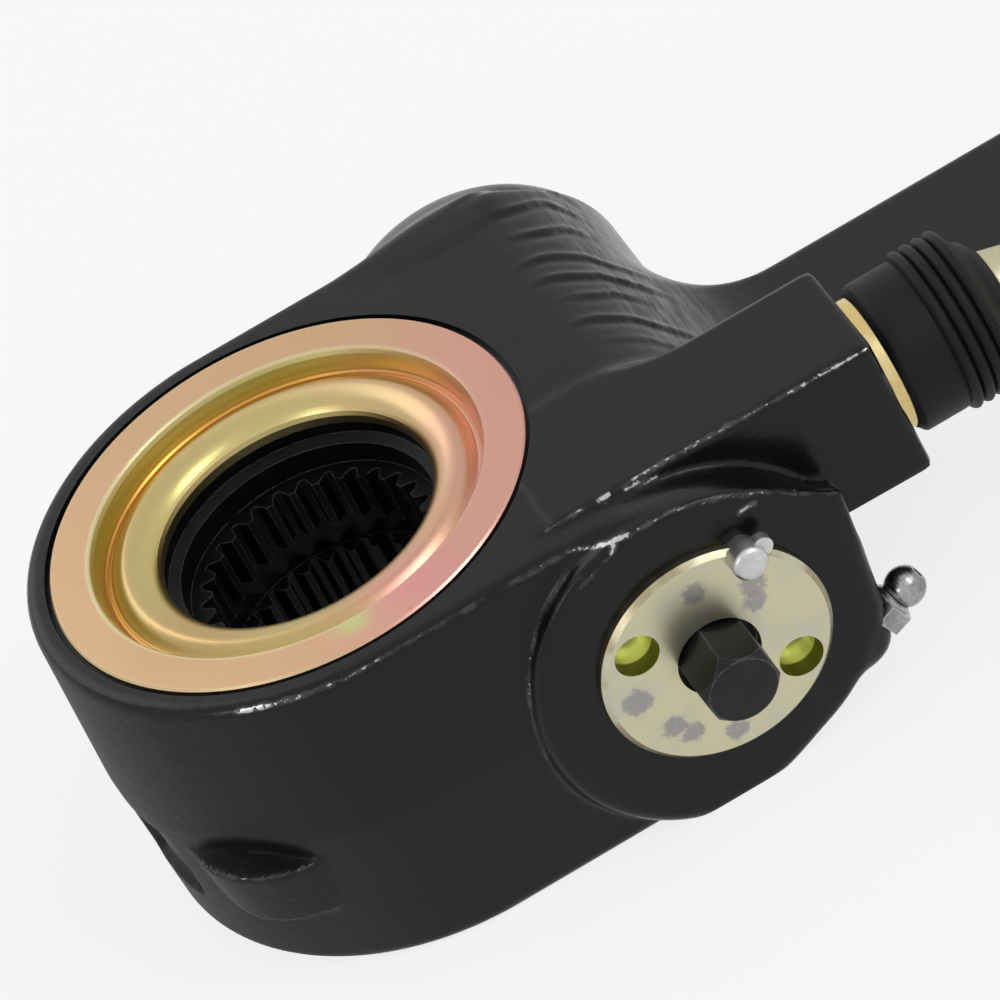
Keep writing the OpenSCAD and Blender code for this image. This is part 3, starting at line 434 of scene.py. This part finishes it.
def slope(points, step):
    x, y, z = points.T
    ahead = [forgedDistance(x + step * i, y + step * j, z + step * k) for i, j, k in np.eye(3)]
    behind = [forgedDistance(x - step * i, y - step * j, z - step * k) for i, j, k in np.eye(3)]
    return np.array(ahead), np.array(behind)


def laidOn(points):
    for _ in range(wearAndHighlight["lays"]):
        ahead, behind = slope(points, wearAndHighlight["layStep"])
        way = (ahead - behind).T
        way = way / np.maximum(np.linalg.norm(way, axis=1, keepdims=True), 1e-6)
        points = points - way * forgedDistance(*points.T)[:, None]
    return points


def lineDistance(points, start, end):
    way = end - start
    along = np.clip((points - start) @ way / (way @ way), 0, 1)
    return np.linalg.norm(points - start - along[:, None] * way, axis=1)


def wornAndHighlightPlaces(points):
    s = wearAndHighlight
    x, y, z = points.T
    ahead, behind = slope(points, s["bendStep"])
    bend = ahead.sum(0) + behind.sum(0) - 6 * forgedDistance(x, y, z)
    edge = ramp(bend / s["bendStep"] ** 2, *s["bend"])
    wornAndHighlight = s["flat"] + (s["edge"] - s["flat"]) * edge
    for start, end, reach in s["lines"]:
        start, end = np.array(start), np.array(end)
        long = np.linalg.norm(end - start)
        pieces = max(1, round(long / s["piece"]))
        laid = laidOn(start + (end - start) * np.linspace(0, 1, pieces + 1)[:, None])
        near = np.linalg.norm(points - (start + end) / 2, axis=1) < long / 2 + s["search"]
        for a, b in zip(laid[:-1], laid[1:]):
            wornAndHighlight[near] = np.maximum(wornAndHighlight[near], reach - lineDistance(points[near], a, b))
    fromLug = np.hypot(x - s["lugMiddle"][0], y - s["lugMiddle"][1])
    onLug = (np.hypot(x, y) > s["lugPast"]) & (fromLug < s["lugAround"]) & (x < 0)
    front = s["lugReach"] - np.abs(z - body["lugTop"]) - s["lugFlat"] * (1 - edge)
    wornAndHighlight = np.where(onLug, np.maximum(wornAndHighlight, front), wornAndHighlight)
    return np.maximum(wornAndHighlight, s["least"])


places = np.empty(len(machined.vertices) * 3)
machined.vertices.foreach_get("co", places)
wornAndHighlight = machined.attributes.new("wornAndHighlight", "FLOAT", "POINT")
wornAndHighlight.data.foreach_set("value", wornAndHighlightPlaces(places.reshape(-1, 3) / mm).astype(np.float32))
print("wear marked")


# shader helpers
def addNode(tree, kind, **settings):
    made = tree.nodes.new(kind)
    for name, value in settings.items():
        setattr(made, name, value)
    return made


def join(tree, source, target):
    tree.links.new(source, target)


def newGroup(name, inputs, outputs):
    tree = bpy.data.node_groups.new(name, "ShaderNodeTree")
    for label, kind, value in inputs:
        socket = tree.interface.new_socket(label, in_out="INPUT", socket_type=kind)
        socket.default_value = value
    for label, kind in outputs:
        tree.interface.new_socket(label, in_out="OUTPUT", socket_type=kind)
    return tree, addNode(tree, "NodeGroupInput"), addNode(tree, "NodeGroupOutput")


def calc(tree, operation, a, b=None, c=None, clamp=False):
    made = addNode(tree, "ShaderNodeMath", operation=operation, use_clamp=clamp)
    for socket, value in zip(made.inputs, (a, b, c)):
        if value is None:
            continue
        if isinstance(value, (int, float)):
            socket.default_value = value
        else:
            join(tree, value, socket)
    return made.outputs[0]


def between(tree, value, low, high, smooth=True):
    made = addNode(tree, "ShaderNodeMapRange", interpolation_type="SMOOTHSTEP" if smooth else "LINEAR")
    join(tree, value, made.inputs["Value"])
    made.inputs["From Min"].default_value = low
    made.inputs["From Max"].default_value = high
    return made.outputs["Result"]


def noise(tree, vector, scale, detail=2.0, rough=0.5):
    made = addNode(tree, "ShaderNodeTexNoise")
    made.inputs["Detail"].default_value = detail
    made.inputs["Roughness"].default_value = rough
    join(tree, vector, made.inputs["Vector"])
    if isinstance(scale, (int, float)):
        made.inputs["Scale"].default_value = scale
    else:
        join(tree, scale, made.inputs["Scale"])
    return made.outputs["Fac"]


def mixed(tree, share, a, b):
    made = addNode(tree, "ShaderNodeMix", data_type="RGBA")
    join(tree, share, made.inputs["Factor"])
    for socket, value in ((made.inputs[6], a), (made.inputs[7], b)):
        if isinstance(value, tuple):
            socket.default_value = (*value, 1)
        else:
            join(tree, value, socket)
    return made.outputs[2]


def metres(values, start=0.0):
    return [(start + value) * mm for value in values]


def apart(tree, vector):
    made = addNode(tree, "ShaderNodeSeparateXYZ")
    join(tree, vector, made.inputs[0])
    return made.outputs


def away(tree, vector, point):
    made = addNode(tree, "ShaderNodeVectorMath", operation="DISTANCE")
    join(tree, vector, made.inputs[0])
    made.inputs[1].default_value = metres(point)
    return made.outputs["Value"]


def across(tree, a, b):
    flat = addNode(tree, "ShaderNodeCombineXYZ")
    join(tree, a, flat.inputs[0])
    join(tree, b, flat.inputs[1])
    made = addNode(tree, "ShaderNodeVectorMath", operation="LENGTH")
    join(tree, flat.outputs[0], made.inputs[0])
    return made.outputs["Value"]


def buildGrain():
    tree, ins, outs = newGroup("castGrain", [("Peel", "NodeSocketFloat", 650.0), ("Fine", "NodeSocketFloat", 2400.0)],
                               [("Height", "NodeSocketFloat"), ("Tone", "NodeSocketFloat")])
    place = addNode(tree, "ShaderNodeTexCoord").outputs["Object"]
    peel = noise(tree, place, ins.outputs["Peel"], 3.0, 0.55)
    fine = noise(tree, place, ins.outputs["Fine"], 2.0, 0.6)
    join(tree, calc(tree, "MULTIPLY_ADD", fine, 0.35, peel), outs.inputs["Height"])
    join(tree, noise(tree, place, 70.0, 4.0, 0.6), outs.inputs["Tone"])
    return tree


# how chips break up: depth of their outline (mm) and where bare and rubbed ground start; the rubbed grey also paints a
# highlight along the near boss's outer crease
chip = {"ragged": 1.3, "bare": (0.0, 0.12), "wide": 420.0, "soft": 1.4, "rubbedAndHighlight": (-0.45, 0.25)}


def buildChips():
    tree, ins, outs = newGroup("chipWearAndHighlight", [("Reach", "NodeSocketFloat", -3.0), ("Size", "NodeSocketFloat", 900.0)],
                               [("Bare", "NodeSocketFloat"), ("RubbedAndHighlight", "NodeSocketFloat")])
    place = addNode(tree, "ShaderNodeTexCoord").outputs["Object"]

    def uneven(spots, deep):
        return calc(tree, "MULTIPLY_ADD", spots, deep, calc(tree, "SUBTRACT", ins.outputs["Reach"], deep / 2))

    ragged = uneven(noise(tree, place, ins.outputs["Size"], 5.0, 0.7), chip["ragged"])
    join(tree, between(tree, ragged, *chip["bare"]), outs.inputs["Bare"])
    soft = uneven(noise(tree, place, chip["wide"], 3.0, 0.6), chip["soft"])
    join(tree, between(tree, soft, *chip["rubbedAndHighlight"]), outs.inputs["RubbedAndHighlight"])
    return tree


def buildTurning():
    tree, ins, outs = newGroup(
        "turningMarks",
        [("Centre", "NodeSocketVector", (0, 0, 0)), ("Across", "NodeSocketVector", (1, 1, 0)),
         ("Scale", "NodeSocketFloat", 3000.0)],
        [("Height", "NodeSocketFloat"), ("Tone", "NodeSocketFloat")])
    place = addNode(tree, "ShaderNodeTexCoord").outputs["Object"]
    offset = addNode(tree, "ShaderNodeVectorMath", operation="SUBTRACT")
    join(tree, place, offset.inputs[0])
    join(tree, ins.outputs["Centre"], offset.inputs[1])
    flat = addNode(tree, "ShaderNodeVectorMath", operation="MULTIPLY")
    join(tree, offset.outputs[0], flat.inputs[0])
    join(tree, ins.outputs["Across"], flat.inputs[1])
    radius = addNode(tree, "ShaderNodeVectorMath", operation="LENGTH")
    join(tree, flat.outputs[0], radius.inputs[0])
    rings = addNode(tree, "ShaderNodeTexNoise", noise_dimensions="1D")
    rings.inputs["Detail"].default_value = 3
    join(tree, radius.outputs["Value"], rings.inputs["W"])
    join(tree, ins.outputs["Scale"], rings.inputs["Scale"])
    join(tree, rings.outputs["Fac"], outs.inputs["Height"])
    join(tree, noise(tree, place, 130.0, 3.0, 0.55), outs.inputs["Tone"])
    return tree


# painted highlight along edges: lighter where the bevel normal turns away from the face
def buildEdgeHighlight():
    tree, ins, outs = newGroup("edgeHighlight", [("Width", "NodeSocketFloat", 0.0004), ("Break", "NodeSocketFloat", 700.0)],
                               [("EdgeHighlight", "NodeSocketFloat")])
    bevel = addNode(tree, "ShaderNodeBevel", samples=6)
    join(tree, ins.outputs["Width"], bevel.inputs["Radius"])
    face = addNode(tree, "ShaderNodeNewGeometry").outputs["Normal"]
    meet = addNode(tree, "ShaderNodeVectorMath", operation="DOT_PRODUCT")
    join(tree, bevel.outputs["Normal"], meet.inputs[0])
    join(tree, face, meet.inputs[1])
    turn = calc(tree, "SUBTRACT", 1.0, meet.outputs["Value"])
    place = addNode(tree, "ShaderNodeTexCoord").outputs["Object"]
    broken = noise(tree, place, ins.outputs["Break"], 3.0, 0.65)
    line = calc(tree, "MULTIPLY", between(tree, turn, 0.01, 0.12), between(tree, broken, 0.3, 0.6))
    join(tree, line, outs.inputs["EdgeHighlight"])
    return tree


castGrain, chipWearAndHighlight, turningMarks, edgeHighlight = buildGrain(), buildChips(), buildTurning(), buildEdgeHighlight()


def useGroup(tree, group, **values):
    made = addNode(tree, "ShaderNodeGroup", node_tree=group)
    for name, value in values.items():
        if isinstance(value, (int, float, tuple)):
            made.inputs[name].default_value = value
        else:
            join(tree, value, made.inputs[name])
    return made.outputs


def newFinish(name, metallic=0.0, ior=1.5, coat=0.0):
    made = bpy.data.materials.new(name)
    made.use_nodes = True
    tree = made.node_tree
    shader = tree.nodes["Principled BSDF"]
    shader.inputs["Metallic"].default_value = metallic
    shader.inputs["IOR"].default_value = ior
    shader.inputs["Coat Weight"].default_value = coat
    return made, tree, shader


def setBump(tree, shader, height, strength, distance, normal=None):
    bump = addNode(tree, "ShaderNodeBump")
    bump.inputs["Strength"].default_value = strength
    bump.inputs["Distance"].default_value = distance * mm
    join(tree, height, bump.inputs["Height"])
    if normal is not None:
        join(tree, normal, bump.inputs["Normal"])
    join(tree, bump.outputs["Normal"], shader.inputs["Normal"])


def setRough(tree, shader, tone, low, high):
    join(tree, calc(tree, "MULTIPLY_ADD", tone, high - low, low), shader.inputs["Roughness"])


# satin black paint over the forging; places in metres
paint = {
    "colour": (0.0036, 0.0038, 0.0040), "dusty": (0.0062, 0.0064, 0.0066), "rubbedAndHighlight": (0.075, 0.077, 0.078),
    "bare": (0.52, 0.52, 0.51), "bareMetal": 0.5, "chipSize": 950.0,
    "rough": (0.17, 0.3), "peel": 620.0, "fine": 2300.0, "bump": 0.36, "deep": 0.14, "ior": 1.31,
    "flankSheen": (0.21, 0.21, 0.213), "flankFacing": (0.42, 0.8),  # painted grey sheen on the flank of the worm boss, on faces turned toward +X, drawn along its length
    "flankX": (0.05, 0.056), "flankY": (-0.014, -0.004), "flankZ": (0.004, 0.012),
    "streakPull": (1, 0.09, 1), "streakScale": 1100.0, "streakShown": (0.3, 0.75), "streakDeep": 1.5,
    "leftX": (-0.012, -0.034), "leftZ": (0.0275, 0.026), "leftRough": 0.3,  # coarser skin far left
    "coarse": 1.6,
}


def blackPaint():
    made, tree, shader = newFinish("blackPaint", ior=paint["ior"])
    grain = useGroup(tree, castGrain, Peel=paint["peel"], Fine=paint["fine"])
    mark = addNode(tree, "ShaderNodeAttribute", attribute_name="wornAndHighlight").outputs["Fac"]
    chips = useGroup(tree, chipWearAndHighlight, Reach=mark, Size=paint["chipSize"])
    coords = addNode(tree, "ShaderNodeTexCoord")
    pulled = addNode(tree, "ShaderNodeMapping")
    pulled.inputs["Scale"].default_value = paint["streakPull"]
    join(tree, coords.outputs["Object"], pulled.inputs["Vector"])
    streaks = noise(tree, pulled.outputs["Vector"], paint["streakScale"], 4.0, 0.65)
    place = apart(tree, coords.outputs["Object"])
    facing = apart(tree, coords.outputs["Normal"])
    flank = between(tree, facing["X"], *paint["flankFacing"])
    for way in "YZX":
        flank = calc(tree, "MULTIPLY", flank, between(tree, place[way], *paint["flank" + way]))
    coat = mixed(tree, grain["Tone"], paint["colour"], paint["dusty"])
    # painted sheen: the flank's grazing reflection laid into the paint colour as streaked grey
    flankSheen = calc(tree, "MULTIPLY", flank, between(tree, streaks, *paint["streakShown"]))
    coat = mixed(tree, flankSheen, coat, paint["flankSheen"])
    # rubbed grey paint where worn, and a painted highlight along the near boss's outer crease
    coat = mixed(tree, chips["RubbedAndHighlight"], coat, paint["rubbedAndHighlight"])
    join(tree, mixed(tree, chips["Bare"], coat, paint["bare"]), shader.inputs["Base Color"])
    join(tree, calc(tree, "MULTIPLY", chips["Bare"], paint["bareMetal"]), shader.inputs["Metallic"])
    low, high = paint["rough"]
    leftX, leftZ = between(tree, place["X"], *paint["leftX"]), between(tree, place["Z"], *paint["leftZ"])
    left = calc(tree, "MULTIPLY", leftX, leftZ)
    rough = calc(tree, "MULTIPLY_ADD", grain["Tone"], high - low, low)
    join(tree, calc(tree, "MULTIPLY_ADD", left, paint["leftRough"], rough), shader.inputs["Roughness"])
    skin = calc(tree, "MULTIPLY", grain["Height"], calc(tree, "MULTIPLY_ADD", left, paint["coarse"], 1.0))
    height = calc(tree, "MULTIPLY_ADD", calc(tree, "MULTIPLY", streaks, flank), paint["streakDeep"], skin)
    setBump(tree, shader, height, paint["bump"], paint["deep"])
    return made


# yellow zinc on the pressed cover: bands by radius (mm) holding the zinc's tint with painted highlights on lip, bead
# and rim edges and painted dark reflections in the groove, rose toward the arm, small colour blushes
cover = {
    "tintAndReflectionBands": (
        (21.6, (0.62, 0.54, 0.27)), (22.6, (0.50, 0.42, 0.17)), (24.6, (0.47, 0.39, 0.17)), (26.6, (0.48, 0.35, 0.16)),
        (28.2, (0.47, 0.37, 0.13)), (28.8, (0.60, 0.47, 0.19)), (29.3, (0.40, 0.24, 0.06)), (29.9, (0.56, 0.25, 0.05)),
        (30.5, (0.52, 0.36, 0.09)), (31.0, (0.42, 0.34, 0.08)), (31.7, (0.60, 0.52, 0.30)), (32.3, (0.53, 0.345, 0.2)),
        (37.4, (0.53, 0.345, 0.2)), (38.0, (0.60, 0.48, 0.28)),
    ),
    "cloud": 55.0, "rose": (0.57, 0.29, 0.245), "roseMost": 0.85,
    "roseX": 12.0, "roseY": -6.0, "roseCloud": 0.35, "roseShown": (0.15, 0.62),
    "blushes": (  # place, width, colour, most
        ((9.5, -31.5, 26.5), 15.0, (0.60, 0.26, 0.265), 0.9),  # pink
        ((-0.8, -32.6, 27.2), 8.5, (0.42, 0.58, 0.2), 1.0),  # green
        ((-20.0, -14.0, 25.0), 20.0, (0.46, 0.31, 0.14), 0.8),  # tan
    ),
    "blushFull": 2.0, "blushCloud": 0.006,
    "speck": (0.25, 0.13, 0.06), "specks": 900.0, "speckShown": (0.76, 0.8),
    "rough": (0.24, 0.38), "ridge": (29.3, 29.7), "grain": 2600.0, "grainDeep": 0.11, "bump": 0.6, "deep": 0.25,
}


def coverZinc():
    s = cover
    made, tree, shader = newFinish("coverZinc", metallic=1.0)
    place = addNode(tree, "ShaderNodeTexCoord").outputs["Object"]
    spread = apart(tree, place)
    cloud = noise(tree, place, s["cloud"], 3.0, 0.5)
    radius = across(tree, spread["X"], spread["Y"])
    inner, outer = s["tintAndReflectionBands"][0][0], s["tintAndReflectionBands"][-1][0]
    # radius bands: zinc tint, painted highlights and painted dark groove reflections
    tintAndReflectionBands = addNode(tree, "ShaderNodeValToRGB")
    join(tree, between(tree, radius, inner * mm, outer * mm, smooth=False), tintAndReflectionBands.inputs["Fac"])
    stops = tintAndReflectionBands.color_ramp.elements
    while len(stops) < len(s["tintAndReflectionBands"]):
        stops.new(0.5)
    for stop, (at, shade) in zip(stops, s["tintAndReflectionBands"]):
        stop.position = (at - inner) / (outer - inner)
        stop.color = (*shade, 1)
    side = calc(tree, "MULTIPLY_ADD", spread["X"], s["roseX"], calc(tree, "MULTIPLY", spread["Y"], s["roseY"]))
    side = calc(tree, "MULTIPLY_ADD", cloud, s["roseCloud"], side)
    rose = calc(tree, "MULTIPLY", between(tree, side, *s["roseShown"]), s["roseMost"])
    colour = mixed(tree, rose, tintAndReflectionBands.outputs["Color"], s["rose"])
    for at, wide, shade, most in s["blushes"]:
        cloudy = calc(tree, "MULTIPLY_ADD", cloud, s["blushCloud"], away(tree, place, at))
        share = between(tree, cloudy, wide * mm, s["blushFull"] * mm)
        colour = mixed(tree, calc(tree, "MULTIPLY", share, most), colour, shade)
    specks = noise(tree, place, s["specks"], 2.0, 0.5)
    colour = mixed(tree, between(tree, specks, *s["speckShown"]), colour, s["speck"])
    join(tree, colour, shader.inputs["Base Color"])
    setRough(tree, shader, cloud, *s["rough"])
    ridge = between(tree, radius, *metres(s["ridge"]))
    height = calc(tree, "MULTIPLY_ADD", noise(tree, place, s["grain"], 2.0, 0.6), s["grainDeep"], ridge)
    setBump(tree, shader, height, s["bump"], s["deep"])
    return made


# pale zinc on the retainer, with grey scuffs, green walls and a painted bright floor in the spanner holes (mm)
disc = {
    "pale": (0.59, 0.555, 0.37), "cool": (0.53, 0.52, 0.40), "coolShown": (0.35, 0.7),
    "marks": 2600.0, "rough": (0.27, 0.4), "bump": 0.12, "deep": 0.05, "face": -47.5,
    "scuffs": (  # x, z, half width
        (28.8, 0.2, 2.0), (31.9, -7.4, 1.6), (34.1, -10.2, 1.5), (50.6, 5.9, 1.5),
        (51.5, 8.9, 1.8), (43.1, 12.8, 1.5), (40.1, -14.1, 1.5),
    ),
    "scuff": (0.29, 0.28, 0.29), "scuffMost": 0.85, "scuffFade": (2.5, 1.5),
    "patches": 1100.0, "patchShown": (0.24, 0.42),
    "smear": 800.0, "smearWide": 0.0034, "smearDeep": 0.3,
    "holes": ((53.2, -8.06), (31.8, 8.06)), "holeR": (3.62, 3.56), "holeWall": (0.02, 0.12), "holeFloor": (3.0, 3.4),
    "olive": (0.17, 0.19, 0.035), "litHoleFloor": (0.8, 0.82, 0.36),
    "wall": (0.36, 0.31, 0.2), "wallR": (17.35, 17.45), "wallShown": (0.62, 0.4),
}


def discZinc():
    s = disc
    made, tree, shader = newFinish("discZinc", metallic=1.0)
    place = addNode(tree, "ShaderNodeTexCoord").outputs["Object"]
    centre, way = turnedAxes["wormAxis"]
    turning = useGroup(tree, turningMarks, Centre=centre, Across=way, Scale=s["marks"])
    colour = mixed(tree, between(tree, turning["Tone"], *s["coolShown"]), s["pale"], s["cool"])
    smear = noise(tree, place, s["smear"], 4.0, 0.65)
    patches = between(tree, noise(tree, place, s["patches"], 4.0, 0.7), *s["patchShown"])
    for x, z, wide in s["scuffs"]:
        uneven = calc(tree, "MULTIPLY_ADD", smear, s["smearWide"], away(tree, place, (x, s["face"], z)))
        near = calc(tree, "MULTIPLY", between(tree, uneven, *metres(s["scuffFade"], wide)), patches)
        colour = mixed(tree, calc(tree, "MULTIPLY", near, s["scuffMost"]), colour, s["scuff"])
    spread = apart(tree, place)
    inside = between(tree, spread["Y"], *metres(s["holeWall"], s["face"]))
    deep = between(tree, spread["Y"], *metres(s["holeFloor"], s["face"]))
    # painted light: the deep floor of each spanner hole is coloured bright
    lining = mixed(tree, deep, s["olive"], s["litHoleFloor"])
    for x, z in s["holes"]:
        dx, dz = calc(tree, "SUBTRACT", spread["X"], x * mm), calc(tree, "SUBTRACT", spread["Z"], z * mm)
        wall = calc(tree, "MULTIPLY", inside, between(tree, across(tree, dx, dz), *metres(s["holeR"])))
        colour = mixed(tree, wall, colour, lining)
    fromAxis = across(tree, calc(tree, "SUBTRACT", spread["X"], body["wormX"] * mm), spread["Z"])
    rim = between(tree, fromAxis, *metres(s["wallR"]))
    rim = calc(tree, "MULTIPLY", rim, between(tree, turning["Tone"], *s["wallShown"]))
    join(tree, mixed(tree, rim, colour, s["wall"]), shader.inputs["Base Color"])
    setRough(tree, shader, turning["Tone"], *s["rough"])
    setBump(tree, shader, calc(tree, "MULTIPLY_ADD", smear, s["smearDeep"], turning["Height"]), s["bump"], s["deep"])
    return made


# plain metals: colour, second colour, edge colour (a painted highlight along edges), roughness, metallic, ior
metals = {
    "hexOxide": ((0.006, 0.0062, 0.0065), (0.013, 0.013, 0.0135), (0.16, 0.16, 0.16), (0.32, 0.46), 0.0, 1.33),
    "wheelOxide": ((0.002, 0.0021, 0.0022), (0.0045, 0.0045, 0.0047), (0.08, 0.08, 0.08), (0.3, 0.44), 0.0, 1.2),
    "pinZinc": ((0.62, 0.63, 0.61), (0.5, 0.5, 0.49), (0.75, 0.75, 0.74), (0.3, 0.48), 1.0, 1.45),
    "fittingZinc": ((0.22, 0.22, 0.22), (0.4, 0.4, 0.395), (0.66, 0.66, 0.65), (0.2, 0.36), 1.0, 1.45),
    "sleeveZinc": ((0.62, 0.48, 0.2), (0.68, 0.57, 0.3), (0.74, 0.62, 0.34), (0.24, 0.36), 1.0, 1.45),
    "rodZinc": ((0.56, 0.51, 0.33), (0.48, 0.45, 0.3), (0.62, 0.57, 0.4), (0.34, 0.5), 1.0, 1.45),
    "bushBronze": ((0.42, 0.27, 0.12), (0.34, 0.2, 0.08), (0.5, 0.34, 0.16), (0.3, 0.45), 1.0, 1.45),
    "cutSteel": ((0.42, 0.42, 0.43), (0.34, 0.34, 0.35), (0.55, 0.55, 0.55), (0.26, 0.4), 1.0, 1.45),
}
turnedAxes = {  # point and plane, in metres
    "wormAxis": ((0.0425, 0, 0), (1, 0, 1)),
    "camAxis": ((0, 0, 0), (1, 1, 0)),
    "rackAxis": ((0, -0.02615, 0.01485), (0, 1, 1)),
}
machining = {
    "marks": 3400.0, "mottle": 1300.0, "mottleShare": 0.4, "markShare": 0.6, "secondShown": (0.4, 0.62),
    "edge": 0.00035, "broken": 800.0, "mottleDeep": 0.5, "bump": 0.1, "deep": 0.06,
}


def metalFinish(name, axis):
    s = machining
    first, second, edge, rough, metallic, ior = metals[name]
    made, tree, shader = newFinish(name, metallic=metallic, ior=ior)
    centre, way = turnedAxes[axis]
    turning = useGroup(tree, turningMarks, Centre=centre, Across=way, Scale=s["marks"])
    place = addNode(tree, "ShaderNodeTexCoord").outputs["Object"]
    mottle = noise(tree, place, s["mottle"], 4.0, 0.65)
    marks = calc(tree, "MULTIPLY", turning["Tone"], s["markShare"])
    share = between(tree, calc(tree, "MULTIPLY_ADD", mottle, s["mottleShare"], marks), *s["secondShown"])
    # painted highlight along the part's edges, from the bevel node
    line = useGroup(tree, edgeHighlight, Width=s["edge"], Break=s["broken"])
    join(tree, mixed(tree, line["EdgeHighlight"], mixed(tree, share, first, second), edge), shader.inputs["Base Color"])
    setRough(tree, shader, mottle, *rough)
    setBump(tree, shader, calc(tree, "MULTIPLY_ADD", mottle, s["mottleDeep"], turning["Height"]), s["bump"], s["deep"])
    return made


# matt black rubber with pale dust
rubber = {
    "colour": (0.0046, 0.0047, 0.0049), "dusty": (0.0085, 0.0086, 0.0088), "rough": (0.46, 0.62), "ior": 1.27,
    "peel": 1400.0, "fine": 5200.0, "bump": 0.12, "deep": 0.03,
    "dust": (0.06, 0.06, 0.06), "dustScale": 1700.0, "dustShown": (0.74, 0.8),
}


def bootRubber():
    made, tree, shader = newFinish("bootRubber", ior=rubber["ior"])
    grain = useGroup(tree, castGrain, Peel=rubber["peel"], Fine=rubber["fine"])
    place = addNode(tree, "ShaderNodeTexCoord").outputs["Object"]
    dust = between(tree, noise(tree, place, rubber["dustScale"], 2.0, 0.5), *rubber["dustShown"])
    colour = mixed(tree, grain["Tone"], rubber["colour"], rubber["dusty"])
    join(tree, mixed(tree, dust, colour, rubber["dust"]), shader.inputs["Base Color"])
    setRough(tree, shader, grain["Tone"], *rubber["rough"])
    setBump(tree, shader, grain["Height"], rubber["bump"], rubber["deep"])
    return made


def dress(piece, finish):
    piece.data.materials.clear()
    piece.data.materials.append(finish)


rubberFinish = bootRubber()
dress(forgedBody, blackPaint())
dress(bootBellows, rubberFinish)
dress(bootMouth, rubberFinish)
dress(nodes["cover_plate"], coverZinc())
dress(nodes["bearing_retainer"], discZinc())
nodeFinishes = {
    ("hexOxide", "wormAxis"): ["worm_shaft"],
    ("wheelOxide", "camAxis"): ["worm_wheel"],
    ("pinZinc", "wormAxis"): ["lock_pin", "link_pin", "drum_pin"],
    ("fittingZinc", "camAxis"): ["grease_fitting", "fitting_ball", "fitting_spring"],
    ("sleeveZinc", "rackAxis"): ["boot_sleeve"],
    ("rodZinc", "rackAxis"): ["link_rod"],
    ("bushBronze", "camAxis"): ["arm_bush", "clutch_spacer", "retainer_washer", "worm_washer", "worm_bush"],
    ("cutSteel", "wormAxis"): ["worm", "clutch_drum", "pinion", "clutch_spring", "disc_springs", "rack_plunger"],
}
for (name, axis), pieces in nodeFinishes.items():
    finish = metalFinish(name, axis)
    for piece in pieces:
        dress(nodes[piece], finish)
for piece in ("front_seal", "rear_seal", "shaft_seal", "retainer_seal"):
    dress(nodes[piece], rubberFinish)
print("finishes set")

# pale floor, white background and soft lamps
studio = {
    "floorReach": 4.0, "floorColour": (0.82, 0.82, 0.82), "floorShows": 0.2,  # share of the floor's own shading in view
    "paper": 900.0, "paperShade": 0.97, "floorRough": 0.9, "ambient": 0.55, "aim": (0.04, 0, 0),
    "lamps": (  # place, width, power
        ("keyLamp", (0.75, -0.55, 0.95), 0.6, 4.5),
        ("backLamp", (-0.5, 0.9, 0.9), 0.8, 2.5),
        ("sideLamp", (-0.9, -0.66, 0.6), 0.3, 1.6),
    ),
}


def floorFinish():
    made, tree, shader = newFinish("paleFloor")
    paper = addNode(tree, "ShaderNodeTexCoord").outputs["Object"]
    shade = noise(tree, paper, studio["paper"], 2.0, 0.5)
    darker = tuple(studio["paperShade"] * c for c in studio["floorColour"])
    join(tree, mixed(tree, shade, studio["floorColour"], darker), shader.inputs["Base Color"])
    shader.inputs["Roughness"].default_value = studio["floorRough"]
    glow = addNode(tree, "ShaderNodeEmission")
    path = addNode(tree, "ShaderNodeLightPath")
    seen = calc(tree, "MAXIMUM", path.outputs["Is Camera Ray"], path.outputs["Is Glossy Ray"])
    blend = addNode(tree, "ShaderNodeMixShader")
    join(tree, calc(tree, "MULTIPLY", seen, 1 - studio["floorShows"]), blend.inputs["Fac"])
    join(tree, shader.outputs["BSDF"], blend.inputs[1])
    join(tree, glow.outputs["Emission"], blend.inputs[2])
    join(tree, blend.outputs["Shader"], tree.nodes["Material Output"].inputs["Surface"])
    return made


reach, floorZ = studio["floorReach"], cadBox[0].z
floorMesh = bpy.data.meshes.new("floor")
corners = [(x * reach, y * reach, floorZ) for x, y in ((-1, -1), (1, -1), (1, 1), (-1, 1))]
floorMesh.from_pydata(corners, [], [(0, 1, 2, 3)])
floor = addObject("floor", floorMesh)
dress(floor, floorFinish())

world = bpy.data.worlds.new("studio")
bpy.context.scene.world = world
world.use_nodes = True
sky = world.node_tree
path = addNode(sky, "ShaderNodeLightPath")
shown = calc(sky, "MAXIMUM", path.outputs["Is Camera Ray"], path.outputs["Is Glossy Ray"])
backdrop = sky.nodes["Background"]
backdrop.inputs["Color"].default_value = (1, 1, 1, 1)
join(sky, calc(sky, "MULTIPLY_ADD", shown, 1 - studio["ambient"], studio["ambient"]), backdrop.inputs["Strength"])
for name, spot, wide, power in studio["lamps"]:
    lampData = bpy.data.lights.new(name, "AREA")
    lampData.size = wide
    lampData.energy = power
    lamp = bpy.data.objects.new(name, lampData)
    bpy.context.scene.collection.objects.link(lamp)
    lamp.location = spot
    lamp.rotation_mode = "QUATERNION"
    lamp.rotation_quaternion = (Vector(studio["aim"]) - lamp.location).to_track_quat("-Z", "Y")
print("studio lit")

bpy.context.scene.view_settings.view_transform = "Standard"
